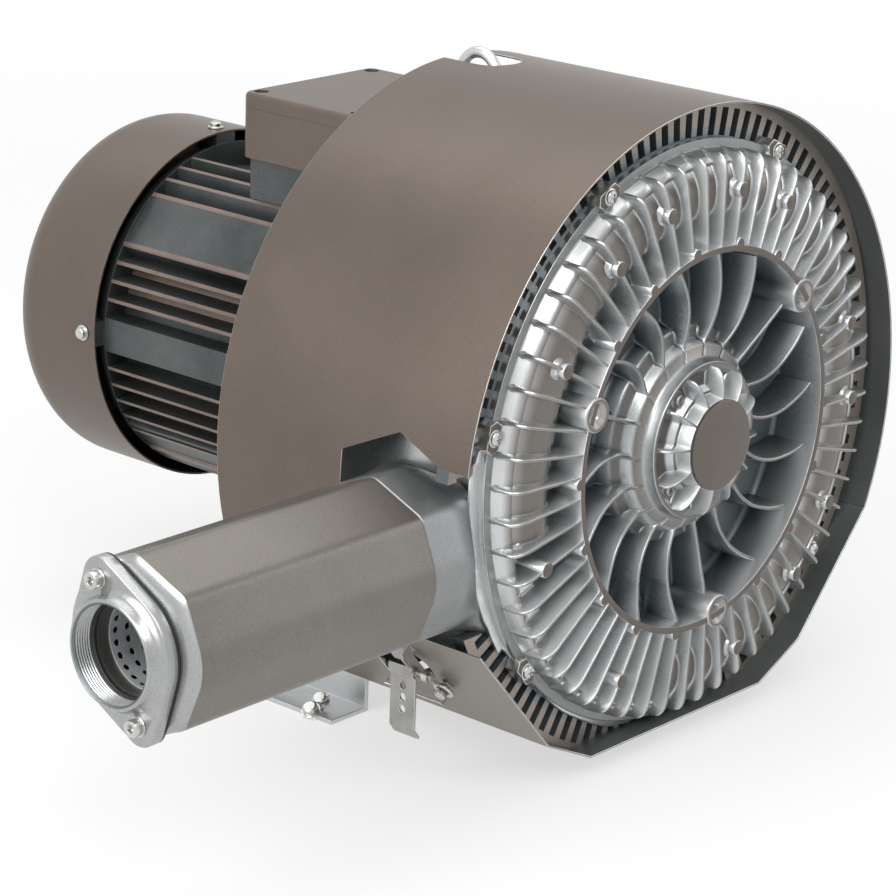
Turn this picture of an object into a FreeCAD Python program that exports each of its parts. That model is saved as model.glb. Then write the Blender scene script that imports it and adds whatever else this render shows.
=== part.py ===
import FreeCAD, Part
import math
import os

import Sketcher
from FreeCAD import Placement, Rotation, Vector

# Side channel blower with two impellers, a flanged motor and two silencers.
# X points right as seen from the front cover, Y runs back along the shaft, Z is up.
# The origin lies on the floor, in the middle of the four mounting holes of the base.

# Sizes in millimetres, angles in degrees. Stations called *_at are measured along the
# shaft from the front face of the cover's inner ring.
SIZES = [
    ("axis_height", 262, "floor to shaft axis"),
    ("fit_gap", 0.05, "radial running clearance of shafts in their bores"),
    ("air_gap", 0.4, "gap between the impellers and the lands beside them"),
    ("seat_gap", 0.1, "clearance between parts that slide together"),
    # front cover
    ("cover_radius", 237.5, "outer radius of the cover flange"),
    ("flange_at", 28, "front face of the cover flange"),
    ("flange_depth", 6, "thickness of the cover flange"),
    ("spigot_radius", 230, "centring spigot behind the cover"),
    ("land_at", 46, "rear land of the cover"),
    ("ring_radius", 158, "outer radius of the inner ring"),
    ("ring_wall", 5, "thickness of the inner ring"),
    ("valley_at", 31, "floor between ring and channel"),
    ("crest_at", 6, "front of the channel bulge"),
    ("crest_radius", 202, "radius of the channel crest"),
    ("crest_width", 20, "flat part of the channel crest"),
    ("floor_at", 38, "floor inside the ring"),
    ("cover_wall", 7, "wall of the cover over the channel"),
    ("rib_count", 56, "radial ribs over the channel"),
    ("rib_width", 3, "thickness of a radial rib"),
    ("rib_first", 17.4, "angle of the first radial rib"),
    ("rib_round", 14, "radius of the outer corner of a rib"),
    ("stripper_start", 193, "angle where the channel bulge stops"),
    ("stripper_sweep", 70, "arc without a channel bulge"),
    ("pin_radius", 6.3, "radius of the ejector pads"),
    ("spiral_count", 18, "curved ribs inside the ring"),
    ("spiral_width", 3, "thickness of a curved rib"),
    ("spiral_at", 9, "front edge of the curved ribs"),
    ("spiral_start", 66, "inner radius of the curved ribs"),
    ("boss_circle", 153, "radius of the three lifting thread bosses"),
    ("boss_radius", 14.5, "outer radius of a thread boss"),
    ("boss_bore", 5.1, "core radius of the thread in a boss"),
    ("boss_depth", 24, "depth of the thread in a boss"),
    ("bead_radius", 5, "radius of the half round beads on the ring"),
    # hub of the cover
    ("cap_radius", 37, "radius of the hub cap"),
    ("cap_at", -13.7, "front face of the hub cap"),
    ("cap_thickness", 3, "thickness of the hub cap's disc"),
    ("hub_bore", 26, "bearing bore in the cover hub"),
    ("cup_radius", 62, "radius of the rim of the hub cup"),
    ("cup_at", 7, "front of the rim of the hub cup"),
    ("cup_floor_at", 24, "floor of the hub cup"),
    ("petal_count", 11, "small ribs in the hub cup"),
    # clamps around the cover
    ("clamp_circle", 241, "radius of the clamp screws"),
    ("clamp_length", 34, "length of a clamp along the rim"),
    ("clamp_reach", 25, "radial width of a clamp"),
    ("clamp_thickness", 4, "plate of a clamp in front of the cover flange"),
    ("clamp_block", 10, "block of a clamp outside the cover flange"),
    ("clamp_head", 5.5, "radius of a clamp screw head"),
    # slotted ring behind the cover
    ("collar_depth", 3, "flange of the middle casing behind the cover"),
    ("rim_reach", 9.5, "widening of that flange at the inlet"),
    ("rim_start", 173.5, "angle where the widening starts"),
    ("rim_sweep", 39, "arc of the widening"),
    ("vent_depth", 12, "thickness of the slotted ring"),
    ("slot_start", 239, "inner end of the slots"),
    ("slot_end", 261.5, "outer end of the slots"),
    ("vent_radius", 271, "outer radius of the slotted ring"),
    ("slot_count", 104, "slots around the ring"),
    ("slot_width", 8, "width of a slot"),
    # casings
    ("casing_radius", 236, "outer radius of the casings"),
    ("impeller_radius", 227, "outer radius of the impellers"),
    ("impeller_width", 30, "thickness of the impellers"),
    ("middle_width", 76, "wall between the two impellers"),
    ("channel_inner", 176, "inner radius of the side channels"),
    ("channel_outer", 226, "outer radius of the side channels"),
    ("channel_depth", 25, "depth of the side channels in the casings"),
    ("rear_wall", 50, "depth of the rear casing behind its impeller"),
    ("neck_radius", 128, "register of the motor on the rear casing"),
    ("neck_depth", 18, "length of that register"),
    ("lift_radius", 16, "boss for the eye bolt"),
    # shroud
    ("shroud_radius", 276.8, "outer radius of the shroud"),
    ("shroud_drop", 7.2, "shroud centre below the shaft"),
    ("shroud_at", 14.3, "front edge of the shroud"),
    ("shroud_over", 39.3, "shroud edge behind the rear casing"),
    ("sheet", 1.5, "sheet thickness of shroud and cowl"),
    ("split_drop", 119.6, "joint of upper and lower shroud below the shaft"),
    ("knee_x", 166, "half width at the knee of the lower shroud"),
    ("knee_drop", 217.8, "knee of the lower shroud below the shaft"),
    ("bottom_x", 112, "half width of the flat bottom"),
    ("bottom_drop", 243.3, "flat bottom below the shaft"),
    # silencers and ports
    ("silencer_lead", 3.2, "left silencer's axis behind the first land"),
    ("silencer_drop", 48.3, "its axis below the shaft"),
    ("silencer_flats", 128, "width across the flats of the eight sided body"),
    ("silencer_start", 305, "distance of its joint from the shaft"),
    ("silencer_length", 244, "length of a silencer body"),
    ("silencer_wall", 6, "wall of a silencer body"),
    ("silencer_round", 16, "rounding of the long edges"),
    ("port_thread", 36.1, "core radius of the pipe thread"),
    ("port_boss", 40.2, "outer radius of the threaded boss"),
    ("port_length", 19.4, "length of the port flange with its boss"),
    ("flange_plate", 10, "thickness of the port flange"),
    ("flange_radius", 49.5, "round middle of the port flange"),
    ("lobe_radius", 16, "ends of the port flange"),
    ("screw_reach", 53, "port screws from the port axis"),
    ("port_tilt", 22.5, "turn of the port flange from the upright"),
    ("gasket", 2, "thickness of the port gasket"),
    ("port_screw_head", 6.5, "radius of a port screw head"),
    ("port_screw_height", 8, "height of a port screw head"),
    ("liner_radius", 34, "inner radius of the perforated tube"),
    ("liner_wall", 2, "wall of the perforated tube"),
    ("outlet_x", 190, "right silencer's axis beside the shaft"),
    ("outlet_drop", 130, "right silencer's axis below the shaft"),
    ("outlet_neck", 34, "bore radius of the outlet neck"),
    ("outlet_clear", 12, "right silencer's joint behind the shroud"),
    # motor
    ("flange_motor_radius", 150, "radius of the motor flange"),
    ("flange_motor_depth", 16.4, "thickness of the motor flange"),
    ("frame_length", 273, "length of the motor frame"),
    ("frame_radius", 126, "radius of the motor frame between its fins"),
    ("frame_bore", 108, "bore of the motor frame"),
    ("fin_radius", 148, "radius over the fins"),
    ("fin_width", 3, "thickness of a fin"),
    ("fin_pitch", 15.6, "distance between fins"),
    ("stator_bore", 66, "bore of the stator core"),
    ("rotor_gap", 0.5, "gap between rotor and stator"),
    ("core_length", 160, "length of the stator core"),
    ("shield_depth", 15, "thickness of the rear end shield"),
    ("cowl_radius", 158, "outer radius of the fan cowl"),
    ("cowl_gap", 3, "front edge of the cowl behind the frame"),
    ("cowl_length", 113.5, "length of the fan cowl"),
    ("cowl_round", 34, "rounding of the cowl's rear corner"),
    ("fan_radius", 118, "radius of the cooling fan"),
    ("fan_width", 42, "width of the cooling fan"),
    ("fan_blades", 9, "blades of the cooling fan"),
    # shaft and bearings
    ("shaft_radius", 17.5, "shaft in the impellers"),
    ("journal_front", 12.5, "shaft in the front bearing"),
    ("journal_drive", 22.5, "shaft in the drive bearing"),
    ("journal_rear", 17.5, "shaft in the rear bearing"),
    ("bearing_width", 16, "width of the bearings"),
    # terminal box
    ("box_x", 80, "half width of the terminal box"),
    ("box_lead", 44, "terminal box behind the front of the frame"),
    ("box_length", 135, "length of the terminal box"),
    ("box_seat", 164, "seat of the box above the shaft"),
    ("box_height", 43, "height of the box"),
    ("lid_height", 13, "height of the lid"),
    ("box_round", 9, "rounding of the lid"),
    ("box_wall", 4, "wall of the box"),
    ("box_inset", 12, "lid screws from the corners"),
    # eye bolt
    ("eye_lead", 19.4, "eye bolt behind the rear casing"),
    ("eye_mean", 19, "mean radius of the eye"),
    ("eye_bar", 4.8, "radius of the eye's bar"),
    ("eye_top", 278, "top of the eye above the shaft"),
    ("eye_seat", 226, "seat of the eye bolt above the shaft"),
    # base
    ("base_x", 180, "half width of the base over its flanges"),
    ("base_sheet", 4, "sheet of the base"),
    ("base_web_x", 139, "outer face of the webs"),
    ("base_height", 30, "height of the base"),
    ("base_lead", 0.3, "front edge of the base behind the casing's rear face"),
    ("base_length", 264.2, "length of the base"),
    ("base_hole_x", 159.5, "mounting holes from the centre line"),
    ("base_hole_y", 104, "mounting holes from the middle"),
    ("base_hole", 5.5, "radius of the mounting holes"),
    # latch on the lower shroud
    ("latch_at", 112, "station of the latch axis"),
    ("latch_slope", 52, "latch axis from the upper edge of the sloping panel"),
    ("window_radius", 24, "round hole behind the latch"),
    ("lever_length", 58, "length of the latch lever"),
    ("lever_width", 26, "width of the latch lever"),
    ("hook_at", 88, "station of the hook stud"),
    ("wire", 1.8, "radius of the bail wire"),
]


class Size:
    # A number together with the expression in the sheet's cells that it comes from.
    def __init__(self, value, text):
        self.value = float(value)
        self.text = text

    def __add__(self, other):
        other = size(other)
        return Size(self.value + other.value, "(%s + %s)" % (self.text, other.text))

    def __sub__(self, other):
        other = size(other)
        return Size(self.value - other.value, "(%s - %s)" % (self.text, other.text))

    def __mul__(self, other):
        other = size(other)
        return Size(self.value * other.value, "(%s * %s)" % (self.text, other.text))

    def __truediv__(self, other):
        other = size(other)
        return Size(self.value / other.value, "(%s / %s)" % (self.text, other.text))

    def __radd__(self, other):
        return size(other) + self

    def __rsub__(self, other):
        return size(other) - self

    def __rmul__(self, other):
        return size(other) * self

    def __rtruediv__(self, other):
        return size(other) / self

    def __neg__(self):
        return size(0) - self

    def __float__(self):
        return self.value


def size(number):
    if isinstance(number, Size):
        return number
    return Size(number, "(%.9g)" % number)


def sine(angle):
    angle = size(angle)
    return Size(math.sin(math.radians(angle.value)), "sin(%s)" % angle.text)


def cosine(angle):
    angle = size(angle)
    return Size(math.cos(math.radians(angle.value)), "cos(%s)" % angle.text)


def root(number):
    number = size(number)
    return Size(math.sqrt(number.value), "sqrt(%s)" % number.text)


def slope_angle(rise, run):
    ratio = rise / run
    return Size(math.degrees(math.atan(ratio.value)), "atan(%s)" % ratio.text)


doc = FreeCAD.newDocument("SideChannelBlower")
sheet = doc.addObject("Spreadsheet::Sheet", "dims")


class Cells:
    pass


d = Cells()
for row, (alias, number, note) in enumerate(SIZES, start=1):
    cell = "B%d" % row
    sheet.set("A%d" % row, alias)
    sheet.set(cell, "%.9g" % number)
    sheet.set("C%d" % row, note)
    sheet.setAlias(cell, alias)
    setattr(d, alias, Size(number, "dims." + alias))
doc.recompute()

nodes = {}
ACROSS = Rotation(Vector(0, 1, 0), 90)
BACK = Rotation(Vector(1, 0, 0), -90)
LEFT = Rotation(Vector(0, 1, 0), -90)
UP = Rotation()


def bind(thing, prop, number):
    number = size(number)
    setattr(thing, prop, number.value)
    if "dims." in number.text:
        thing.setExpression(prop, number.text)


def place(thing, at, turn=UP):
    at = [size(part) for part in at]
    thing.Placement = Placement(Vector(*[part.value for part in at]), turn)
    for letter, part in zip("xyz", at):
        if "dims." in part.text:
            thing.setExpression("Placement.Base." + letter, part.text)
    return thing


def cylinder(name, radius, length, at, turn=BACK):
    thing = doc.addObject("Part::Cylinder", name)
    bind(thing, "Radius", radius)
    bind(thing, "Height", length)
    return place(thing, at, turn)


def cone(name, radius, end_radius, length, at, turn=BACK):
    thing = doc.addObject("Part::Cone", name)
    bind(thing, "Radius1", radius)
    bind(thing, "Radius2", end_radius)
    bind(thing, "Height", length)
    return place(thing, at, turn)


def box(name, length, width, height, at, turn=UP):
    thing = doc.addObject("Part::Box", name)
    bind(thing, "Length", length)
    bind(thing, "Width", width)
    bind(thing, "Height", height)
    return place(thing, at, turn)


def torus(name, mean, bar, at, turn=UP):
    thing = doc.addObject("Part::Torus", name)
    bind(thing, "Radius1", mean)
    bind(thing, "Radius2", bar)
    return place(thing, at, turn)


def fuse(name, parts):
    thing = doc.addObject("Part::MultiFuse", name)
    thing.Shapes = parts
    return thing


def cut(name, base, tools):
    thing = doc.addObject("Part::Cut", name)
    thing.Base = base
    thing.Tool = tools[0] if len(tools) == 1 else fuse(name + "Tools", tools)
    return thing


def common(name, base, tool):
    thing = doc.addObject("Part::Common", name)
    thing.Base = base
    thing.Tool = tool
    return thing


def node(label, thing):
    thing.Label = label
    nodes[label] = thing
    return thing


# Stations that follow from the pieces in front of them
first_land = d.land_at + 2 * d.air_gap + d.impeller_width
second_land = first_land + d.middle_width
rear_land = second_land + 2 * d.air_gap + d.impeller_width
rear_end = rear_land + d.rear_wall
neck_end = rear_end + d.neck_depth
frame_at = neck_end + d.flange_motor_depth
frame_end = frame_at + d.frame_length
shield_end = frame_end + d.shield_depth
cowl_at = frame_end + d.cowl_gap
cowl_end = cowl_at + d.cowl_length
shroud_end = rear_end + d.shroud_over
silencer_at = first_land + d.silencer_lead
flange_back = d.flange_at + d.flange_depth
vent_at = flange_back + d.collar_depth
ring_y = -d.base_length / 2 - d.base_lead - rear_end


def station(offset):
    return ring_y + offset


def around(radius, angle, y):
    return (radius * cosine(angle), y, d.axis_height + radius * sine(angle))


def sketch_on(body, name, role, base=(0, 0, 0), turn=UP):
    sketch = body.newObject("Sketcher::SketchObject", name)
    plane = [entry for entry in body.Origin.OriginFeatures if entry.Role == role][0]
    sketch.AttachmentSupport = [(plane, "")]
    sketch.MapMode = "FlatFace"
    base = [size(part) for part in base]
    sketch.AttachmentOffset = Placement(Vector(*[part.value for part in base]), turn)
    for letter, part in zip("xyz", base):
        if "dims." in part.text:
            sketch.setExpression("AttachmentOffset.Base." + letter, part.text)
    return sketch


def pin(sketch, kind, edge, point, number):
    number = size(number)
    if number.value == 0 and "dims." not in number.text:
        axis = -2 if kind == "DistanceX" else -1
        sketch.addConstraint(Sketcher.Constraint("PointOnObject", edge, point, axis))
        return
    index = sketch.addConstraint(Sketcher.Constraint(kind, -1, 1, edge, point, number.value))
    if "dims." in number.text:
        sketch.setExpression("Constraints[%d]" % index, number.text)


# A closed outline of straight edges. Each corner is fixed from the sketch's origin.
def polygon(sketch, corners):
    first = sketch.GeometryCount
    corners = [(size(across), size(up)) for across, up in corners]
    count = len(corners)
    points = [Vector(across.value, up.value, 0) for across, up in corners]
    for index in range(count):
        edge = Part.LineSegment(points[index], points[(index + 1) % count])
        sketch.addGeometry(edge, False)
    for index in range(count):
        following = first + (index + 1) % count
        sketch.addConstraint(Sketcher.Constraint("Coincident", first + index, 2, following, 1))
    for index, (across, up) in enumerate(corners):
        pin(sketch, "DistanceX", first + index, 1, across)
        pin(sketch, "DistanceY", first + index, 1, up)
    return sketch


def circle(sketch, across, up, radius):
    across, up, radius = size(across), size(up), size(radius)
    centre = Vector(across.value, up.value, 0)
    edge = sketch.addGeometry(Part.Circle(centre, Vector(0, 0, 1), radius.value), False)
    pin(sketch, "DistanceX", edge, 3, across)
    pin(sketch, "DistanceY", edge, 3, up)
    index = sketch.addConstraint(Sketcher.Constraint("Radius", edge, radius.value))
    if "dims." in radius.text:
        sketch.setExpression("Constraints[%d]" % index, radius.text)
    return sketch


def new_body(name):
    return doc.addObject("PartDesign::Body", name)


# The sketch plane holds the shaft axis: across is the station, up is the radius.
def axial_sketch(body, name, corners, turn=UP):
    sketch = sketch_on(body, name, "YZ_Plane", (0, d.axis_height, 0), turn)
    return polygon(sketch, corners)


def revolve(body, sketch, name="Turned"):
    feature = body.newObject("PartDesign::Revolution", name)
    feature.Profile = sketch
    feature.ReferenceAxis = (sketch, ["H_Axis"])
    feature.Angle = 360
    return feature


def turned(name, corners):
    body = new_body(name)
    revolve(body, axial_sketch(body, name + "Section", corners))
    return body


def pad(body, sketch, length, name, midplane=False, back=False):
    feature = body.newObject("PartDesign::Pad", name)
    feature.Profile = sketch
    bind(feature, "Length", length)
    feature.Midplane = midplane
    feature.Reversed = back
    return feature


def pocket_through(body, sketch, name):
    feature = body.newObject("PartDesign::Pocket", name)
    feature.Profile = sketch
    feature.Type = 1
    feature.Midplane = True
    return feature


def repeat(body, feature, axis, count, name):
    pattern = body.newObject("PartDesign::PolarPattern", name)
    pattern.Originals = [feature]
    pattern.Axis = axis
    pattern.Angle = 360
    count = size(count)
    pattern.Occurrences = round(count.value)
    if "dims." in count.text:
        pattern.setExpression("Occurrences", count.text)
    body.Tip = pattern
    return pattern


# Turns a sketch that holds the shaft axis to an angle seen from the front cover.
def turn_to(sketch, angle):
    angle = 90 - size(angle)
    base = sketch.AttachmentOffset.Base
    sketch.AttachmentOffset = Placement(base, Rotation(Vector(1, 0, 0), angle.value))
    if "dims." in angle.text:
        sketch.setExpression("AttachmentOffset.Rotation.Angle", angle.text)


# A sketch plane across the shaft at a station, with its origin on the shaft axis.
def cross_sketch(body, name, offset):
    return sketch_on(body, name, "XZ_Plane", (0, d.axis_height, -station(offset)))


def sections(points):
    return [(station(offset), radius) for offset, radius in points]


clamp_angles = (117.5, 64.7, 168.4, -140.7, -37.1)


# Front cover: a cast plate with a ring, the bulge of the side channel and many ribs
def front_cover():
    body = new_body("CoverCasting")
    cap_seat = d.cap_at + d.cap_thickness
    ring_inner = d.ring_radius - d.ring_wall
    crest_in = d.crest_radius - d.crest_width / 2
    crest_out = d.crest_radius + d.crest_width / 2
    channel_floor = d.crest_at + d.cover_wall
    profile = [
        (cap_seat, d.hub_bore),
        (cap_seat, d.cap_radius + 1),
        (d.cup_at + 1, d.cap_radius + 4),
        (d.cup_floor_at, d.cap_radius + 6),
        (d.cup_floor_at, d.cup_radius - 5),
        (d.cup_at, d.cup_radius - 2),
        (d.cup_at, d.cup_radius + 2),
        (d.cup_at + 7, d.cup_radius + 4),
        (d.cup_at + 10, d.cup_radius + 12),
        (d.cup_at + 19, d.cup_radius + 16),
        (d.cup_at + 21, d.cup_radius + 26),
        (d.floor_at, d.cup_radius + 30),
        (d.floor_at, ring_inner - 2),
        (0, ring_inner),
        (0, d.ring_radius),
        (d.valley_at, d.ring_radius + 2),
        (d.valley_at, d.ring_radius + 8),
        (d.valley_at - 7, d.ring_radius + 10),
        (d.valley_at - 7, crest_in - 16),
        (d.crest_at + 6, crest_in - 8),
        (d.crest_at, crest_in),
        (d.crest_at, crest_out),
        (d.crest_at + 3, crest_out + 7),
        (d.crest_at + 10, d.cover_radius - 13),
        (d.flange_at, d.cover_radius - 10.5),
        (d.flange_at, d.cover_radius),
        (flange_back, d.cover_radius),
        (flange_back, d.spigot_radius),
        (d.land_at, d.spigot_radius),
        (d.land_at, d.channel_outer),
        (channel_floor + 13, d.channel_outer - 4),
        (channel_floor, d.channel_outer - 15),
        (channel_floor, d.channel_inner + 15),
        (channel_floor + 13, d.channel_inner + 4),
        (d.land_at, d.channel_inner),
        (d.land_at, d.shaft_radius + 2),
        (d.bearing_width, d.shaft_radius + 2),
        (d.bearing_width, d.hub_bore),
    ]
    revolve(body, axial_sketch(body, "CoverSection", sections(profile)))

    # the stripper: a sector where the channel is filled and its bulge is missing
    fill = axial_sketch(body, "StripperSection", sections([
        (d.valley_at - 2, d.channel_inner - 2),
        (d.land_at, d.channel_inner - 2),
        (d.land_at, d.channel_outer + 2),
        (d.valley_at - 2, d.channel_outer + 2),
    ]))
    turn_to(fill, d.stripper_start + d.stripper_sweep)
    block = revolve(body, fill, "Stripper")
    bind(block, "Angle", d.stripper_sweep)
    recess = axial_sketch(body, "RecessSection", sections([
        (d.valley_at, d.channel_inner),
        (d.cap_at, d.channel_inner),
        (d.cap_at, d.channel_outer - 3),
        (d.valley_at, d.channel_outer - 3),
    ]))
    turn_to(recess, d.stripper_start + d.stripper_sweep)
    hollow = body.newObject("PartDesign::Groove", "Recess")
    hollow.Profile = recess
    hollow.ReferenceAxis = (recess, ["H_Axis"])
    bind(hollow, "Angle", d.stripper_sweep)

    # radial ribs: straight over the valley, rounded down to the flange
    outer = d.cover_radius - 6.5
    edge = [
        (1.5, outer - 17),
        (3.5, outer - 9),
        (8, outer - 4),
        (15, outer - 2.3),
        (d.flange_at + 1, outer),
        (d.flange_at + 1, outer - 6),
    ]
    rib = axial_sketch(body, "RibSection", sections([(1.5, d.ring_radius - 1)] + edge + [
        (channel_floor + 4, outer - 12),
        (channel_floor - 2.5, crest_out),
        (channel_floor - 2.5, crest_in),
        (d.valley_at - 8.5, crest_in - 14),
        (d.valley_at + 9, d.ring_radius + 14),
        (d.valley_at + 9, d.ring_radius - 1),
    ]))
    turn_to(rib, d.rib_first)
    single = pad(body, rib, d.rib_width, "Rib", midplane=True)
    repeat(body, single, (rib, ["H_Axis"]), d.rib_count, "Ribs")

    # deeper ribs in the stripper
    deep = axial_sketch(body, "DeepRibSection", sections([(1.5, d.ring_radius + 6)] + edge + [
        (d.valley_at + 2, outer - 8),
        (d.valley_at + 2, d.ring_radius + 6),
    ]))
    pitch = 360 / d.rib_count
    turn_to(deep, d.rib_first + 38 * pitch)
    lowest = pad(body, deep, d.rib_width, "DeepRib", midplane=True)
    series = repeat(body, lowest, (deep, ["H_Axis"]), 11, "DeepRibs")
    bind(series, "Angle", 10 * pitch)

    # curved ribs from the hub to the ring
    curve = cross_sketch(body, "SpiralOutline", d.spiral_at)
    inner_side = []
    outer_side = []
    steps = 6
    for step in range(steps + 1):
        share = step / steps
        radius = d.spiral_start + (ring_inner - 0.5 - d.spiral_start) * share
        bow = 105.4 - 8.3 * math.sin(math.pi * share)
        half = d.spiral_width / 2
        for side, row in ((half, outer_side), (-half, inner_side)):
            across = radius * cosine(bow) - side * sine(bow)
            up = radius * sine(bow) + side * cosine(bow)
            row.append((across, up))
    polygon(curve, inner_side + outer_side[::-1])
    spiral = pad(body, curve, d.floor_at - d.spiral_at + 1, "Spiral", back=True)
    repeat(body, spiral, (curve, ["N_Axis"]), d.spiral_count, "Spirals")

    # petals between the bearing boss and the rim of the cup
    petal = axial_sketch(body, "PetalSection", sections([
        (cap_seat + 2, d.cap_radius),
        (cap_seat + 4, d.cap_radius + 7),
        (d.cup_at - 4, d.cup_radius - 8),
        (d.cup_at + 0.5, d.cup_radius - 1),
        (d.cup_floor_at + 1, d.cup_radius - 1),
        (d.cup_floor_at + 1, d.cap_radius + 2),
    ]))
    leaf = pad(body, petal, 2, "Petal", midplane=True)
    repeat(body, leaf, (petal, ["H_Axis"]), d.petal_count, "Petals")

    # thread bosses, half round beads on the ring and the ejector pads on the ribs
    added = [body]
    bores = []
    for index in range(18):
        angle = 20 * index
        if index in (2, 8, 14):
            at = around(d.boss_circle, angle, station(-1.5))
            added.append(cylinder("Boss", d.boss_radius, d.floor_at + 4, at))
            bores.append(cylinder("Thread", d.boss_bore, d.boss_depth, at))
            bores.append(cone("Sink", d.boss_bore + 2.5, d.boss_bore, 3, at))
        else:
            at = around(d.ring_radius + 1, angle, station(0.3))
            added.append(cylinder("Bead", d.bead_radius, d.valley_at + 3, at))
    for index in (0, 7, 10, 14, 17, 21, 28, 35, 42, 46, 49, 53):
        at = around(d.crest_radius, d.rib_first + index * pitch, station(1.2))
        length = d.crest_at if index not in (28, 35) else d.valley_at
        added.append(cylinder("Pad", d.pin_radius, length, at))
    for angle in clamp_angles:
        bores.append(radial_box("ClampSeat", angle, d.clamp_circle - d.clamp_reach / 3 - 1,
                                d.clamp_reach, d.clamp_length + 2, d.flange_at - 12, 12))
    whole = fuse("CoverWhole", added)
    return node("front_cover", cut("Cover", whole, bores))


# A shallow cap on a plug in the bearing bore
def hub_cap():
    seat = d.cap_at + d.cap_thickness
    body = turned("Cap", sections([
        (d.cap_at, 0),
        (d.cap_at, d.cap_radius - 1),
        (d.cap_at + 1, d.cap_radius),
        (seat, d.cap_radius),
        (seat, d.hub_bore),
        (seat + 5, d.hub_bore),
        (seat + 5, 0),
    ]))
    return node("hub_cap", body)


def channel(land, depth):
    # the side channel in a land; a positive depth goes back
    return [
        (land, d.channel_outer),
        (land + depth * 0.7, d.channel_outer - 4),
        (land + depth, d.channel_outer - 15),
        (land + depth, d.channel_inner + 15),
        (land + depth * 0.7, d.channel_inner + 4),
        (land, d.channel_inner),
    ]


# Middle casing with both impeller chambers and the wall between them
def middle_casing():
    bore = d.spigot_radius + d.seat_gap
    profile = [
        (flange_back, bore),
        (flange_back, d.cover_radius),
        (vent_at, d.cover_radius),
        (vent_at, d.casing_radius),
        (rear_land, d.casing_radius),
        (rear_land, bore),
        (second_land, bore),
    ]
    profile += channel(second_land, -d.channel_depth)
    profile += [
        (second_land, d.shaft_radius + d.fit_gap),
        (first_land, d.shaft_radius + d.fit_gap),
    ]
    profile += channel(first_land, d.channel_depth)[::-1]
    profile += [(first_land, bore)]
    body = turned("MiddleCasting", sections(profile))
    rim = axial_sketch(body, "RimSection", sections([
        (flange_back, d.cover_radius - 3),
        (flange_back, d.cover_radius + d.rim_reach),
        (vent_at, d.cover_radius + d.rim_reach),
        (vent_at, d.cover_radius - 3),
    ]))
    turn_to(rim, d.rim_start + d.rim_sweep)
    wide = revolve(body, rim, "Rim")
    bind(wide, "Angle", d.rim_sweep)
    duct = cylinder("InletDuct", d.liner_radius, d.casing_radius - d.crest_radius + 10,
                    (-d.casing_radius - 5, station(silencer_at), d.axis_height - d.silencer_drop), ACROSS)
    return node("middle_casing", cut("Middle", body, [duct]))


# Rear casing with the motor register, two feet and the boss of the eye bolt
def rear_casing():
    profile = [
        (rear_land, d.casing_radius),
        (rear_end, d.casing_radius),
        (rear_end, d.neck_radius),
        (neck_end, d.neck_radius),
        (neck_end, d.neck_radius - 18),
        (rear_end - 12, d.neck_radius - 18),
        (rear_end - 12, d.shaft_radius + 1),
        (rear_land, d.shaft_radius + 1),
    ]
    profile += channel(rear_land, d.channel_depth)[::-1]
    body = turned("RearCasting", sections(profile))
    parts = [body]
    foot_depth = d.neck_depth + 6
    top = d.axis_height - d.neck_radius + 8
    for side in (-1, 1):
        x = side * d.bottom_x * 0.66 - 24
        parts.append(box("Foot", 48, foot_depth, top - d.base_height,
                         (x, station(rear_end - 6), d.base_height)))
    boss_low = d.axis_height + d.flange_motor_radius + 1
    boss_height = d.eye_seat - d.flange_motor_radius - 1
    parts.append(cylinder("LiftBoss", d.lift_radius, boss_height,
                          (0, station(rear_end + d.eye_lead), boss_low), UP))
    parts.append(box("LiftWeb", 16, d.eye_lead + 6, boss_height - 6,
                     (-8, station(rear_end - 6), boss_low)))
    outlet = cylinder("OutletDuct", d.outlet_neck, d.rear_wall - d.channel_depth + 10,
                      around(d.crest_radius - 8, outlet_angle, station(rear_end - 10)))
    tap = cylinder("EyeTap", d.eye_bar, 24,
                   (0, station(rear_end + d.eye_lead), d.axis_height + d.eye_seat - 24), UP)
    return node("rear_casing", cut("Rear", fuse("RearWhole", parts), [outlet, tap]))


outlet_angle = Size(-34.4, "(-34.4)")


# A body turned about its own upright axis: across is the radius, up is the height.
def spun(name, corners):
    body = new_body(name)
    sketch = polygon(sketch_on(body, name + "Section", "XZ_Plane"), corners)
    feature = revolve(body, sketch, "Spun")
    feature.ReferenceAxis = (sketch, ["V_Axis"])
    return body


# A prism along its own Z axis.
def prism(name, corners, low, length):
    body = new_body(name)
    sketch = polygon(sketch_on(body, name + "Outline", "XY_Plane", (0, 0, low)), corners)
    pad(body, sketch, length, "Prism")
    return body


# A prism along the shaft. Its corners lie across the shaft.
def shaft_prism(name, corners, start, length):
    body = new_body(name)
    sketch = polygon(cross_sketch(body, name + "Outline", start), corners)
    pad(body, sketch, length, "Prism", back=True)
    return body


# Rounds the edges that the test picks.
def soften(body, radius, name, test):
    doc.recompute()
    tip = body.Tip
    picked = []
    for number, edge in enumerate(tip.Shape.Edges, start=1):
        if test(edge):
            picked.append("Edge%d" % number)
    feature = body.newObject("PartDesign::Fillet", name)
    feature.Base = (tip, picked)
    bind(feature, "Radius", radius)
    return feature


def runs_along(edge, letter):
    if len(edge.Vertexes) != 2:
        return False
    way = edge.Vertexes[1].Point - edge.Vertexes[0].Point
    return abs(getattr(way, letter)) > way.Length * 0.999 > 0


def left_normal(start, end):
    across = end[0] - start[0]
    up = end[1] - start[1]
    length = root(across * across + up * up)
    return (size(0) - up / length, across / length)


# Moves a closed outline to its left by a distance, with mitred corners.
def inset(points, distance):
    moved = []
    count = len(points)
    for index in range(count):
        corner = points[index]
        before = left_normal(points[index - 1], corner)
        after = left_normal(corner, points[(index + 1) % count])
        share = distance / (1 + before[0] * after[0] + before[1] * after[1])
        moved.append((corner[0] + share * (before[0] + after[0]),
                      corner[1] + share * (before[1] + after[1])))
    return moved


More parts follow.
